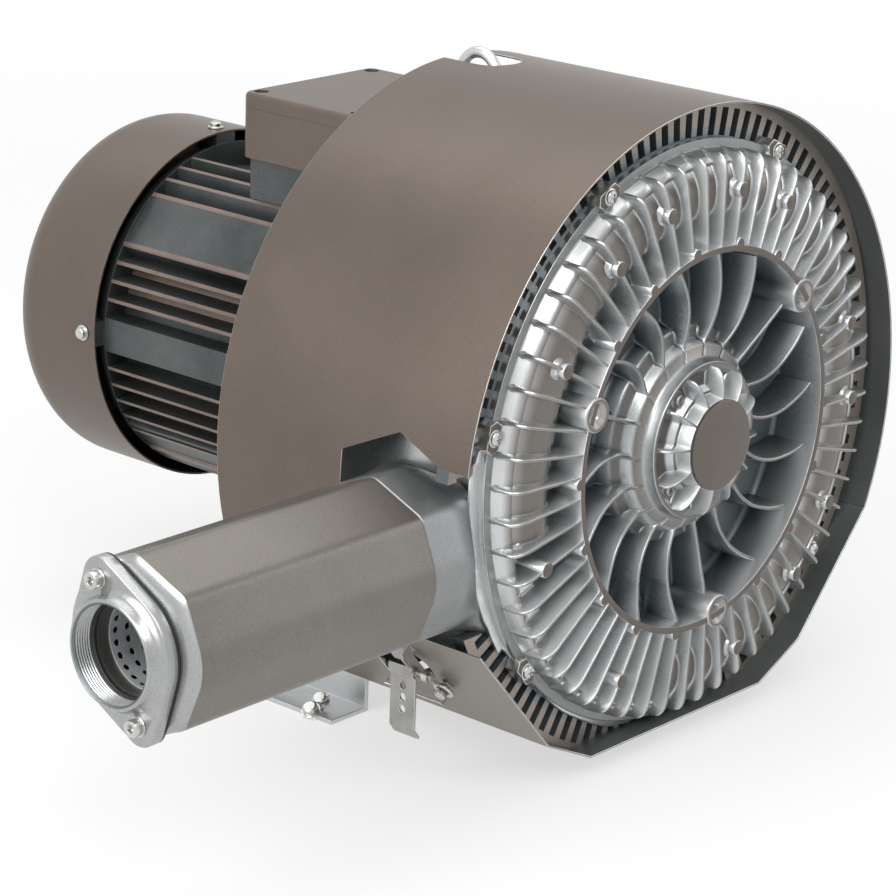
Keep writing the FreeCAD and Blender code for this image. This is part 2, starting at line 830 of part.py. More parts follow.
# A box that stands on the casing at an angle round the shaft.
def radial_box(name, angle, inner, depth, width, start, length):
    corner = (inner * cosine(angle) + width / 2 * sine(angle), station(start),
              d.axis_height + inner * sine(angle) - width / 2 * cosine(angle))
    thing = box(name, depth, length, width, corner, Rotation(Vector(0, 1, 0), -size(angle).value))
    return thing


# Sheet shroud: the upper sheet is round, the lower one is folded
split_x = root(d.shroud_radius * d.shroud_radius
               - (d.split_drop - d.shroud_drop) * (d.split_drop - d.shroud_drop))
lower_outline = [
    (-split_x, -d.split_drop),
    (-d.knee_x, -d.knee_drop),
    (-d.bottom_x, -d.bottom_drop),
    (d.bottom_x, -d.bottom_drop),
    (d.knee_x, -d.knee_drop),
    (split_x, -d.split_drop),
]


def shroud_core(name, distance, start, length):
    # the space inside the shroud, kept a distance from its outer face
    low = inset(lower_outline + [(split_x, size(300)), (-split_x, size(300))], distance)[:6]
    wide = low[0][0] - 60
    corners = [(wide, size(300)), (wide, low[0][1])] + low
    corners += [(low[5][0] + 60, low[5][1]), (low[5][0] + 60, size(300))]
    prismatic = shaft_prism(name + "Prism", corners, start, length)
    rounded = cylinder(name + "Round", d.shroud_radius - distance, length,
                       (0, station(start), d.axis_height - d.shroud_drop))
    return common(name, prismatic, rounded)


def shroud():
    middle = d.axis_height - d.shroud_drop
    length = shroud_end - d.shroud_at
    outer = cylinder("ShroudOuter", d.shroud_radius, length, (0, station(d.shroud_at), middle))
    inner = cylinder("ShroudInner", d.shroud_radius - d.sheet, length + 20,
                     (0, station(d.shroud_at) - 10, middle))
    below = box("BelowSplit", 700, length + 20, 400,
                (-350, station(d.shroud_at) - 10,
                 d.axis_height - d.split_drop + d.seat_gap - 400))
    side = new_body("SilencerOpening")
    outline = sketch_on(side, "SilencerOpeningOutline", "YZ_Plane", (0, d.axis_height, -320))
    centre = station(silencer_at)
    top = -d.silencer_drop
    polygon(outline, [
        (station(d.shroud_at) - 5, top + 77.3),
        (centre - 42, top + 76.9),
        (centre - 28, top + 81.3),
        (centre + 5, top + 95.3),
        (centre + 60, top + 69.9),
        (centre + 60, -d.split_drop - 5),
        (station(d.shroud_at) - 5, -d.split_drop - 5),
    ])
    pad(side, outline, 200, "SideOpening")
    notch_y = station(rear_end - 18.6)
    eye = box("EyeSlot", 44, 60, 80, (-22, notch_y + 22, d.axis_height + 200))
    eye_end = cylinder("EyeSlotEnd", 22, 80, (0, notch_y + 22, d.axis_height + 200), UP)
    return node("shroud", cut("ShroudUpper", outer, [inner, below, side, eye, eye_end]))


def shroud_lower():
    length = shroud_end - d.shroud_at
    closed = lower_outline[:]
    thick = inset(lower_outline + [(split_x, size(300)), (-split_x, size(300))], d.sheet)[:6]
    outer = shaft_prism("LowerSheetOuter", closed, d.shroud_at, length)
    inner_corners = [(thick[0][0], thick[0][1] + 10), thick[0]] + thick[1:5]
    inner_corners += [thick[5], (thick[5][0], thick[5][1] + 10)]
    inner = shaft_prism("LowerSheetInner", inner_corners, d.shroud_at - 10, length + 20)
    base_notch = box("BaseNotch", 2 * d.base_web_x + 12, length, 60,
                     (-d.base_web_x - 6, station(rear_end + d.base_lead - 4),
                      d.axis_height - d.bottom_drop - 10))
    window = cylinder("Window", d.window_radius, 40,
                      panel(d.latch_at + 8, d.latch_slope + 5, -20), UP)
    bind_turn(window, panel_angle)
    return node("shroud_lower", cut("ShroudBelow", outer, [inner, base_notch, window]))


# A point on the left sloping panel: station, way down the slope, height above the sheet
panel_rise = d.knee_drop - d.split_drop
panel_run = split_x - d.knee_x
panel_length = root(panel_rise * panel_rise + panel_run * panel_run)
panel_slope = slope_angle(panel_rise, panel_run)
panel_angle = Size(panel_slope.value - 180, "(%s - 180 deg)" % panel_slope.text)


def panel(along, down, out):
    across = down * panel_run / panel_length - out * panel_rise / panel_length - split_x
    up = size(0) - d.split_drop - down * panel_rise / panel_length
    return (across, station(along), d.axis_height + up - out * panel_run / panel_length)


# Turns a piece about the shaft's direction by an angle from the sheet.
def bind_turn(thing, angle):
    thing.Placement = Placement(thing.Placement.Base, Rotation(Vector(0, 1, 0), angle.value))
    for letter, part in zip("xyz", (0, 1, 0)):
        thing.setExpression("Placement.Rotation.Axis." + letter, str(part))
    thing.setExpression("Placement.Rotation.Angle", angle.text)
    return thing


# Slotted ring between the casing and the shroud
def vent_ring():
    body = new_body("VentPlate")
    face = cross_sketch(body, "VentFace", vent_at)
    circle(face, 0, 0, d.vent_radius)
    circle(face, 0, 0, d.casing_radius + d.seat_gap)
    pad(body, face, d.vent_depth, "Plate", back=True)
    slot = axial_sketch(body, "SlotSection", sections([
        (vent_at - 2, d.slot_start),
        (vent_at - 2, d.slot_end),
        (vent_at + d.vent_depth + 2, d.slot_end),
        (vent_at + d.vent_depth + 2, d.slot_start),
    ]))
    opening = body.newObject("PartDesign::Pocket", "Slot")
    opening.Profile = slot
    opening.Midplane = True
    bind(opening, "Length", d.slot_width)
    repeat(body, opening, (slot, ["H_Axis"]), d.slot_count, "Slots")
    room = shroud_core("VentRoom", d.sheet + d.seat_gap, vent_at - 5, d.vent_depth + 10)
    clipped = common("VentClipped", body, room)
    half = d.silencer_flats / 2 + 1
    way = box("ElbowWay", 200, d.vent_depth + 10, 2 * half,
              (-300, station(vent_at - 5), d.axis_height - d.silencer_drop - half))
    return node("vent_ring", cut("Vent", clipped, [way]))


# Five clamps with a pan head screw each hold the cover and the shroud
def clamps():
    for number, angle in enumerate(clamp_angles, start=1):
        start = d.flange_at - d.seat_gap - d.clamp_thickness
        inner = d.clamp_circle - d.clamp_reach / 3
        plate = radial_box("ClampPlate", angle, inner, d.clamp_reach, d.clamp_length,
                           start, d.clamp_thickness)
        block = radial_box("ClampBlock", angle, d.cover_radius + d.seat_gap, d.clamp_block,
                           d.clamp_length - 6, start, vent_at - d.seat_gap - start)
        head = cylinder("ClampHead", d.clamp_head, 3.2,
                        around(d.clamp_circle, angle, station(start - 2.7)))
        node("clamp_%d" % number, fuse("Clamp", [plate, block, head]))


# A plate with a round middle and two lobes, upright on its own Z axis
def lobed_plate(name, low, length, grow=0):
    big = d.flange_radius + grow
    small = d.lobe_radius + grow
    lean = (big - small) / d.screw_reach
    rise = root(1 - lean * lean)
    corners = []
    for end, side in ((1, 1), (-1, 1), (-1, -1), (1, -1)):
        middle = (end * big * lean, side * big * rise)
        tip = (end * (d.screw_reach + small * lean), side * small * rise)
        pair = (tip, middle) if end * side > 0 else (middle, tip)
        corners += pair
    turned_corners = []
    for across, up in corners:
        turned_corners.append((across * cosine(d.port_tilt) - up * sine(d.port_tilt),
                               across * sine(d.port_tilt) + up * cosine(d.port_tilt)))
    parts = [prism(name + "Web", turned_corners, low, length)]
    parts.append(cylinder(name + "Middle", big, length, (0, 0, low), UP))
    for side in (-1, 1):
        parts.append(cylinder(name + "Lobe", small, length, lobe_at(side, low), UP))
    return parts


def lobe_at(side, low):
    reach = side * d.screw_reach
    return (reach * cosine(d.port_tilt), reach * sine(d.port_tilt), low)


# One silencer with its gasket, threaded port flange, screws and perforated tube.
# It is built upright from its joint at zero and then placed.
def silencer(side, at, turn):
    half = d.silencer_flats / 2
    corner = half * sine(22.5) / cosine(22.5)
    outline = [(half, -corner), (half, corner), (corner, half), (-corner, half),
               (-half, corner), (-half, -corner), (-corner, -half), (corner, -half)]
    end = d.silencer_length
    wall = d.silencer_wall
    body = prism("Octagon", outline, 0, end - 8)
    soften(body, d.silencer_round, "LongEdges", lambda edge: runs_along(edge, "z"))
    crown = new_body("Crown")
    face = polygon(sketch_on(crown, "CrownFace", "XY_Plane", (0, 0, end - 9)),
                   [(0.955 * across, 0.955 * up) for across, up in outline])
    tapered = pad(crown, face, 9, "Tapered")
    tapered.TaperAngle = -35
    seat = lobed_plate("Seat", end - 12, 12)
    hollow = prism("Hollow", [((half - wall) / half * across, (half - wall) / half * up)
                              for across, up in outline], -5, end - 12 + 5 - wall)
    through = cylinder("WallBore", d.liner_radius + d.seat_gap, 60, (0, 0, end - 40), UP)
    tools = [hollow, through]
    for way in (-1, 1):
        tools.append(cylinder("ScrewTap", 4.1, 16, lobe_at(way, end - 12), UP))
    shell = cut("Silencer", fuse("SilencerWhole", [body, crown] + seat), tools)
    node("silencer_" + side, place(shell, at, turn))

    low = end + d.seat_gap
    packing = cut("Gasket", fuse("GasketWhole", lobed_plate("Packing", low, d.gasket, -0.8)),
                  [cylinder("GasketBore", d.port_thread - 1, 10, (0, 0, end - 2), UP)]
                  + [cylinder("GasketHole", 4.4, 10, lobe_at(way, end - 2), UP) for way in (-1, 1)])
    node(side + "_gasket", place(packing, at, turn))

    low = low + d.gasket + d.seat_gap
    parts = lobed_plate("Flange", low, d.flange_plate)
    parts.append(cylinder("PortBoss", d.port_boss, d.port_length, (0, 0, low), UP))
    bores = [cylinder("PortThread", d.port_thread, 60, (0, 0, low - 20), UP),
             cone("PortSink", d.port_thread, d.port_thread + 2, 2,
                  (0, 0, low + d.port_length - 1.9), UP)]
    for way in (-1, 1):
        bores.append(cylinder("ScrewHole", 4.4, 30, lobe_at(way, low - 5), UP))
    flange = cut("PortFlange", fuse("PortFlangeWhole", parts), bores)
    node(side + "_flange", place(flange, at, turn))

    seat_of_head = low + d.flange_plate + d.seat_gap
    for number, way in enumerate((-1, 1), start=1):
        head = d.port_screw_head
        tall = d.port_screw_height
        screw = spun("PortScrew", [
            (0, -22), (4, -22), (4, 0), (head, 0), (head, tall - 1), (head - 1, tall),
            (3.2, tall), (3.2, tall - 4), (0, tall - 4)])
        reach = lobe_at(way, seat_of_head)
        base = [size(part) for part in at]
        local = Vector(*[part.value for part in reach])
        moved = turn.multVec(local)
        columns = [turn.multVec(Vector(*unit)) for unit in ((1, 0, 0), (0, 1, 0), (0, 0, 1))]
        point = []
        for axis in range(3):
            total = base[axis]
            for unit, part in zip(columns, reach):
                factor = round((unit.x, unit.y, unit.z)[axis])
                if factor:
                    total = total + factor * part
            point.append(total)
        if (Vector(*[part.value for part in point]) - moved
                - Vector(*[part.value for part in base])).Length > 0.001:
            raise ValueError("port screw is out of place")
        node("%s_screw_%d" % (side, number), place(screw, point, turn))

    tube = spun("Liner", [
        (d.liner_radius - d.liner_wall, 4), (d.liner_radius, 4),
        (d.liner_radius, end - 1), (d.liner_radius - d.liner_wall, end - 1)])
    holes = sketch_on(tube, "HoleRow", "XZ_Plane")
    for row in range(5):
        circle(holes, 0, end * (0.2 + 0.15 * row), 6)
    pierce = tube.newObject("PartDesign::Pocket", "Holes")
    pierce.Profile = holes
    pierce.Type = 1
    repeat(tube, pierce, (holes, ["V_Axis"]), 8, "HoleRing")
    node(side + "_tube", place(tube, at, turn))


# Cast elbow from the casing's side to the left silencer
def inlet_elbow():
    half = d.silencer_flats / 2
    corner = half * sine(22.5) / cosine(22.5)
    outline = [(half, -corner), (half, corner), (corner, half), (-corner, half),
               (-half, corner), (-half, -corner), (-corner, -half), (corner, -half)]
    at = (-d.silencer_start + d.seat_gap, station(silencer_at), d.axis_height - d.silencer_drop)
    loft = new_body("ElbowShell")
    faces = []
    for name, depth, share in (("JointFace", 0, 1), ("RimFace", -14, 1), ("NeckFace", -52, 0.66)):
        faces.append(polygon(sketch_on(loft, name, "XY_Plane", (0, 0, depth)),
                             [(share * across, share * up) for across, up in outline]))
    pad(loft, faces[0], 14, "Joint", back=True)
    shell = loft.newObject("PartDesign::AdditiveLoft", "Shell")
    shell.Profile = faces[1]
    shell.Sections = [faces[2]]
    shell.Ruled = True
    neck = cylinder("Neck", d.liner_radius + 7, 80, (0, 0, -130), UP)
    bore = cylinder("ElbowBore", d.liner_radius, 160, (0, 0, -140), UP)
    mouth = cone("Mouth", d.liner_radius, half - 8, 30, (0, 0, -29.9), UP)
    whole = cut("ElbowCast", fuse("ElbowWhole", [loft, neck]), [bore, mouth])
    place(whole, at, LEFT)
    barrel = cylinder("ElbowSeat", d.casing_radius + d.seat_gap, 400,
                      (0, station(0), d.axis_height))
    return node("inlet_elbow", cut("Elbow", whole, [barrel]))


# Cast adapter from the rear casing to the right silencer
def outlet_adapter():
    centre_x = d.crest_radius - 8
    low = rear_end + d.seat_gap
    start = shroud_end + d.outlet_clear
    outer = cylinder("OutletPipe", d.outlet_neck + 7, start - low - 2,
                     around(centre_x, outlet_angle, station(low)))
    half = d.silencer_flats / 2
    thick = d.outlet_clear - 0.6
    plate = cylinder("OutletPlate", half, thick - d.seat_gap,
                     (d.outlet_x, station(start - thick), d.axis_height - d.outlet_drop))
    bore = cylinder("OutletBore", d.outlet_neck, 120,
                    around(centre_x, outlet_angle, station(low - 5)))
    wide = cylinder("OutletMouth", half - 10, 10, (d.outlet_x, station(start - 8),
                                                   d.axis_height - d.outlet_drop))
    return node("outlet_adapter", cut("Adapter", fuse("AdapterWhole", [outer, plate]),
                                      [bore, wide]))


# Shaft with its bearing journals
def shaft():
    body = turned("Shaft", sections([
        (-2, 0), (-2, d.journal_front), (d.bearing_width + 0.5, d.journal_front),
        (d.bearing_width + 0.5, d.shaft_radius), (neck_end - 2, d.shaft_radius),
        (neck_end - 2, d.journal_drive), (frame_end - 30, d.journal_drive),
        (frame_end - 30, d.journal_rear), (cowl_at + 64, d.journal_rear), (cowl_at + 64, 0)]))
    return node("shaft", body)


def impeller(label, front):
    hub = d.shaft_radius + d.seat_gap
    back = front + d.impeller_width
    middle = front + d.impeller_width / 2
    body = new_body("Impeller")
    revolve(body, axial_sketch(body, "ImpellerSection", sections([
        (front, hub), (front, d.cup_radius), (middle - 5, d.cup_radius + 6),
        (middle - 5, d.channel_inner - 14), (front, d.channel_inner - 10),
        (front, d.channel_inner - 2), (middle - 3, d.channel_inner + 14),
        (middle - 1, d.impeller_radius), (middle + 1, d.impeller_radius),
        (middle + 3, d.channel_inner + 14), (back, d.channel_inner - 2),
        (back, d.channel_inner - 10), (middle + 5, d.channel_inner - 14),
        (middle + 5, d.cup_radius + 6), (back, d.cup_radius), (back, hub)])))
    vane = axial_sketch(body, "VaneSection", sections([
        (front, d.channel_inner - 6), (front, d.impeller_radius),
        (back, d.impeller_radius), (back, d.channel_inner - 6)]))
    single = pad(body, vane, 2.5, "Vane", midplane=True)
    repeat(body, single, (vane, ["H_Axis"]), 40, "Vanes")
    return node(label, body)


# Rolling bearings, sitting still in their housings
def bearing(label, start, bore, outer):
    end = start + d.bearing_width - 0.4
    groove = (bore + outer) / 2
    body = turned("Bearing", sections([
        (start, bore), (start, groove - 3), (start + 1.5, groove - 3), (start + 1.5, groove + 3),
        (start, groove + 3), (start, outer), (end, outer), (end, groove + 3),
        (end - 1.5, groove + 3), (end - 1.5, groove - 3), (end, groove - 3), (end, bore)]))
    return node(label, body)


def bearings():
    gap = d.fit_gap
    bearing("bearing_front", size(0.2), d.journal_front + gap, d.hub_bore - d.seat_gap)
    bearing("bearing_drive", neck_end + 0.2, d.journal_drive + gap, size(40) - d.seat_gap)
    bearing("bearing_rear", frame_end + 0.6, d.journal_rear + gap, size(36) - d.seat_gap)


# Motor: flange, ribbed frame, stator, rotor, end shield, fan and cowl
def motor_flange():
    bore = d.neck_radius - 18 - d.seat_gap
    body = turned("MotorFlange", sections([
        (neck_end - 8, d.journal_drive + 2), (neck_end - 8, bore), (neck_end + d.seat_gap, bore),
        (neck_end + d.seat_gap, d.flange_motor_radius), (frame_at - d.seat_gap, d.flange_motor_radius),
        (frame_at - d.seat_gap, d.frame_bore - d.seat_gap), (frame_at + 6, d.frame_bore - d.seat_gap),
        (frame_at + 6, d.frame_bore - 8), (frame_at - 4, d.frame_bore - 8), (frame_at - 4, 40),
        (neck_end, 40), (neck_end, d.journal_drive + 2)]))
    return node("motor_flange", body)


def motor_frame():
    tube = cylinder("FrameTube", d.frame_radius, d.frame_length,
                    (0, station(frame_at), d.axis_height))
    fins = []
    half = d.fin_width / 2
    for index in range(4):
        x = 45.2 + index * d.fin_pitch
        for side in (-1, 1):
            fins.append(box("UprightFin", d.fin_width, d.frame_length, 2 * d.fin_radius,
                            (side * x - half, station(frame_at), d.axis_height - d.fin_radius)))
    for index in range(-2, 3):
        fins.append(box("LowerFin", d.fin_width, d.frame_length, d.fin_radius,
                        (index * d.fin_pitch - half, station(frame_at), d.axis_height - d.fin_radius)))
    for level in [31 + index * d.fin_pitch for index in range(4)] + \
            [-30.6 - index * d.fin_pitch for index in range(5)]:
        fins.append(box("SideFin", 2 * d.fin_radius, d.frame_length, d.fin_width,
                        (-d.fin_radius, station(frame_at), d.axis_height + level - half)))
    fins.append(box("SidePads", 2 * d.fin_radius + 4, d.frame_length, 30,
                    (-d.fin_radius - 2, station(frame_at), d.axis_height - 15)))
    limit = cylinder("FinLimit", d.fin_radius, d.frame_length + 2,
                     (0, station(frame_at) - 1, d.axis_height))
    solid = [tube, common("Fins", fuse("FinBoxes", fins), limit)]
    for angle in (41, 139, -134, -46):
        solid.append(radial_box("CornerPanel", angle, d.frame_radius - 12, 31.4, 53,
                                frame_at, d.frame_length))
    solid.append(box("BoxPad", 2 * d.box_x - 12, d.box_length - 12, d.box_seat - 110,
                     (-d.box_x + 6, station(frame_at + d.box_lead + 6), d.axis_height + 110)))
    bore = cylinder("FrameBore", d.frame_bore, d.frame_length + 2,
                    (0, station(frame_at) - 1, d.axis_height))
    return node("motor_frame", cut("Frame", fuse("FrameSolid", solid), [bore]))


def stator():
    middle = frame_at + d.frame_length / 2 - 10
    start = middle - d.core_length / 2
    core = cylinder("Core", d.frame_bore - d.seat_gap, d.core_length,
                    (0, station(start), d.axis_height))
    tools = [cylinder("CoreBore", d.stator_bore, d.core_length + 2,
                      (0, station(start - 1), d.axis_height))]
    bars = []
    for index in range(12):
        at = around((d.stator_bore + d.frame_bore) / 2, 30 * index, station(start - 1))
        tools.append(cylinder("BarHole", 6, d.core_length + 2, at))
        at = around((d.stator_bore + d.frame_bore) / 2, 30 * index, station(start - 10))
        bars.append(cylinder("Bar", size(6) - d.seat_gap, d.core_length + 20, at))
    node("stator_core", cut("Stator", core, tools))
    for label, begin in (("EndTurn", start - 30), ("EndTurnRear", start + d.core_length + 2)):
        bars.append(turned(label, sections([
            (begin, d.stator_bore + 8), (begin, d.frame_bore - 14),
            (begin + 28, d.frame_bore - 12), (begin + 28, d.stator_bore + 6)])))
    node("stator_winding", fuse("Winding", bars))
    rotor = turned("RotorCore", sections([
        (start - 4, d.journal_drive + d.seat_gap), (start - 4, d.stator_bore - 20),
        (start, d.stator_bore - 20), (start, d.stator_bore - d.rotor_gap),
        (start + d.core_length, d.stator_bore - d.rotor_gap),
        (start + d.core_length, d.stator_bore - 20), (start + d.core_length + 4, d.stator_bore - 20),
        (start + d.core_length + 4, d.journal_drive + d.seat_gap)]))
    node("rotor_core", rotor)


def end_shield():
    hub = size(36)
    start = frame_end + d.seat_gap
    rim = d.cowl_radius - d.sheet - d.seat_gap
    body = turned("EndShield", sections([
        (start, d.journal_rear + 4), (start, 30), (frame_end - 8, 44),
        (frame_end - 8, d.frame_bore - 8), (frame_end - 6, d.frame_bore - d.seat_gap),
        (start, d.frame_bore - d.seat_gap), (start, d.fin_radius), (shield_end - 3, d.fin_radius - 4),
        (shield_end, d.frame_radius), (shield_end, 60), (frame_end + d.bearing_width + 1, 46),
        (frame_end + d.bearing_width + 1, hub), (frame_end + 0.5, hub),
        (frame_end + 0.5, d.journal_rear + 4)]))
    parts = [body]
    taps = []
    for angle in (0, 90, 180, 270):
        parts.append(radial_box("Lug", angle, d.frame_radius, rim - d.frame_radius - 0.5, 22,
                                frame_end + 4, 22))
        taps.append(radial_box("LugTap", angle, d.frame_radius + 16, 20, 5, frame_end + 14.5, 5))
    return node("end_shield", cut("Shield", fuse("ShieldWhole", parts), taps))


def cooling_fan():
    start = shield_end + 6
    body = new_body("Fan")
    revolve(body, axial_sketch(body, "FanSection", sections([
        (start, d.journal_rear + d.seat_gap), (start, 30), (start + 4, 34),
        (start + 4, d.fan_radius - 26), (start + 7, d.fan_radius - 26), (start + 7, 38),
        (start + 26, 30), (start + 26, d.journal_rear + d.seat_gap)])))
    blade = axial_sketch(body, "BladeSection", sections([
        (start + 5, 33), (start + 5, d.fan_radius), (start + 26, d.fan_radius),
        (start + d.fan_width, d.fan_radius - 18), (start + d.fan_width, 60), (start + 20, 33)]))
    single = pad(body, blade, 3, "Blade", midplane=True)
    repeat(body, single, (blade, ["H_Axis"]), d.fan_blades, "Blades")
    return node("cooling_fan", body)


def fan_cowl():
    body = turned("Cowl", sections([
        (cowl_at, d.cowl_radius - d.sheet), (cowl_at, d.cowl_radius),
        (cowl_end, d.cowl_radius), (cowl_end, 0), (cowl_end - d.sheet, 0),
        (cowl_end - d.sheet, d.cowl_radius - d.sheet)]))

    def rim_at(offset, radius):
        def test(edge):
            if len(edge.Vertexes) != 1:
                return False
            point = edge.Vertexes[0].Point
            away = math.hypot(point.x, point.z - float(d.axis_height))
            near = abs(point.y - float(station(offset))) < 0.01
            return near and abs(away - float(radius)) < 0.01
        return test

    soften(body, d.cowl_round, "RearCorner", rim_at(cowl_end, d.cowl_radius))
    inner = rim_at(cowl_end - d.sheet, d.cowl_radius - d.sheet)
    soften(body, d.cowl_round - d.sheet, "RearCornerInside", inner)
    slot = axial_sketch(body, "GrilleSection", sections([
        (cowl_end - 8, 30), (cowl_end - 8, d.fan_radius - 8),
        (cowl_end + 5, d.fan_radius - 8), (cowl_end + 5, 30)]))
    opening = body.newObject("PartDesign::Pocket", "GrilleSlot")
    opening.Profile = slot
    opening.Midplane = True
    bind(opening, "Length", 5)
    repeat(body, opening, (slot, ["H_Axis"]), 20, "Grille")
    holes = [cylinder("CowlHoleA", 3, 400, (-200, station(frame_end + 17), d.axis_height), ACROSS),
             cylinder("CowlHoleB", 3, 400, (0, station(frame_end + 17), d.axis_height - 200), UP)]
    node("fan_cowl", cut("CowlSheet", body, holes))
    turns = {1: (0, ACROSS), 2: (90, UP), 3: (180, LEFT), 4: (270, Rotation(Vector(1, 0, 0), 180))}
    for number, (angle, turn) in turns.items():
        screw = spun("CowlScrew", [
            (0, -12), (2, -12), (2, 0), (7, 0), (7, 1.2), (5, 1.2), (5, 4.5), (3.5, 5.5), (0, 5.5)])
        place(screw, around(d.cowl_radius + d.seat_gap, angle, station(frame_end + 17)), turn)
        node("cowl_screw_%d" % number, screw)


# Terminal box on the frame's pad
def terminal_box():
    low = d.axis_height + d.box_seat + d.seat_gap
    front = station(frame_at + d.box_lead)
    corners = [(-d.box_x, front), (d.box_x, front),
               (d.box_x, front + d.box_length), (-d.box_x, front + d.box_length)]
    body = prism("BoxShell", corners, low, d.box_height)
    soften(body, d.box_round, "BoxCorners", lambda edge: runs_along(edge, "z"))
    cavity = box("BoxCavity", 2 * d.box_x - 2 * d.box_wall, d.box_length - 2 * d.box_wall,
                 d.box_height, (-d.box_x + d.box_wall, front + d.box_wall, low + d.box_wall))
    posts = []
    taps = []
    places = []
    for side in (-1, 1):
        for y in (front + d.box_inset, front + d.box_length - d.box_inset):
            places.append((side * (d.box_x - d.box_inset), y))
    for x, y in places:
        posts.append(cylinder("Post", 7, d.box_height, (x, y, low), UP))
        taps.append(cylinder("PostTap", 2.6, 24, (x, y, low + d.box_height - 20), UP))
    for level in (38, 97):
        posts.append(cylinder("BlindEntry", 13, 4, (d.box_x - 1, front + level, low + 21), ACROSS))
        taps.append(cylinder("EntryRecess", 9, 3, (d.box_x + 1.5, front + level, low + 21), ACROSS))
    whole = fuse("BoxWhole", [cut("BoxHollow", body, [cavity])] + posts)
    node("terminal_box", cut("Box", whole, taps))

    top = low + d.box_height + d.seat_gap
    lid = prism("Lid", corners, top, d.lid_height - 2 * d.seat_gap)
    soften(lid, d.box_round, "LidCorners", lambda edge: runs_along(edge, "z"))
    height = float(top + d.lid_height - 2 * d.seat_gap)
    soften(lid, 4, "LidRim",
           lambda edge: abs(edge.BoundBox.ZMin - height) + abs(edge.BoundBox.ZMax - height) < 0.01)
    holes = [cylinder("LidHole", 2.9, 30, (x, y, top - 5), UP) for x, y in places]
    holes += [cylinder("LidSink", 6.2, 30, (x, y, top + d.lid_height - 7), UP) for x, y in places]
    node("terminal_lid", cut("LidDrilled", lid, holes))
    for number, (x, y) in enumerate(places, start=1):
        screw = spun("LidScrew", [
            (0, -18), (2.2, -18), (2.2, 0), (5, 0), (5, 2.4), (3.8, 3.4), (0, 3.4)])
        place(screw, (x, y, top + d.lid_height - 7 + d.seat_gap))
        node("lid_screw_%d" % number, screw)


def eye_bolt():
    y = station(rear_end + d.eye_lead)
    seat = d.axis_height + d.eye_seat + d.seat_gap
    centre = d.axis_height + d.eye_top - d.eye_mean - d.eye_bar
    ring = torus("Eye", d.eye_mean, d.eye_bar, (0, y, centre), ACROSS)
    collar = cone("EyeCollar", d.lift_radius - 4, d.eye_bar + 1, 7, (0, y, seat), UP)
    shank = cylinder("EyeShank", d.eye_bar - 0.3, 21, (0, y, seat - 20), UP)
    return node("eye_bolt", fuse("EyeBolt", [ring, collar, shank]))


# Folded base with four mounting holes
def base_plate():
    sheet_edge = d.base_sheet
    body = new_body("BaseSheet")
    outline = sketch_on(body, "BaseOutline", "XZ_Plane", (0, 0, d.base_length / 2))
    web = d.base_web_x
    polygon(outline, [
        (-d.base_x, 0), (-web + sheet_edge, 0), (-web + sheet_edge, d.base_height - sheet_edge),
        (web - sheet_edge, d.base_height - sheet_edge), (web - sheet_edge, 0), (d.base_x, 0),
        (d.base_x, sheet_edge), (web, sheet_edge), (web, d.base_height), (-web, d.base_height),
        (-web, sheet_edge), (-d.base_x, sheet_edge)])
    pad(body, outline, d.base_length, "Folded", back=True)
    tools = []
    for side in (-1, 1):
        for end in (-1, 1):
            x = side * d.base_hole_x
            y = end * d.base_hole_y
            tools.append(cylinder("BaseHole", d.base_hole, 20, (x, y, -5), UP))
            notch_x = side * (d.base_x - 4)
            notch_y = end * (d.base_hole_y + 5)
            tools.append(cylinder("NotchEnd", d.base_hole, 20, (notch_x, notch_y, -5), UP))
            start = notch_x if side > 0 else notch_x - 10
            tools.append(box("Notch", 10, 2 * d.base_hole, 20,
                             (start, notch_y - d.base_hole, -5)))
    return node("base_plate", cut("Base", body, tools))


# Two loose screws with washers, leaning in the base's holes
def base_screws():
    lean = Vector(-0.52, -0.13, 0.844)
    turn = Rotation(Vector(0, 0, 1), lean)
    first = (-d.base_hole_x - 4, -d.base_hole_y - 1, d.base_sheet + 4.5)
    second = (-d.base_x + 0.5, -d.base_hole_y - 5, d.base_sheet + 1.75)
    for number, at in ((1, first), (2, second)):
        screw = spun("BaseScrew", [
            (0, -3), (3, -3), (3, 0), (8.3, 0), (8.3, 1.4), (6.5, 1.4), (6.5, 5.6), (5, 7), (0, 7)])
        place(screw, at, turn)
        node("base_screw_%d" % number, screw)


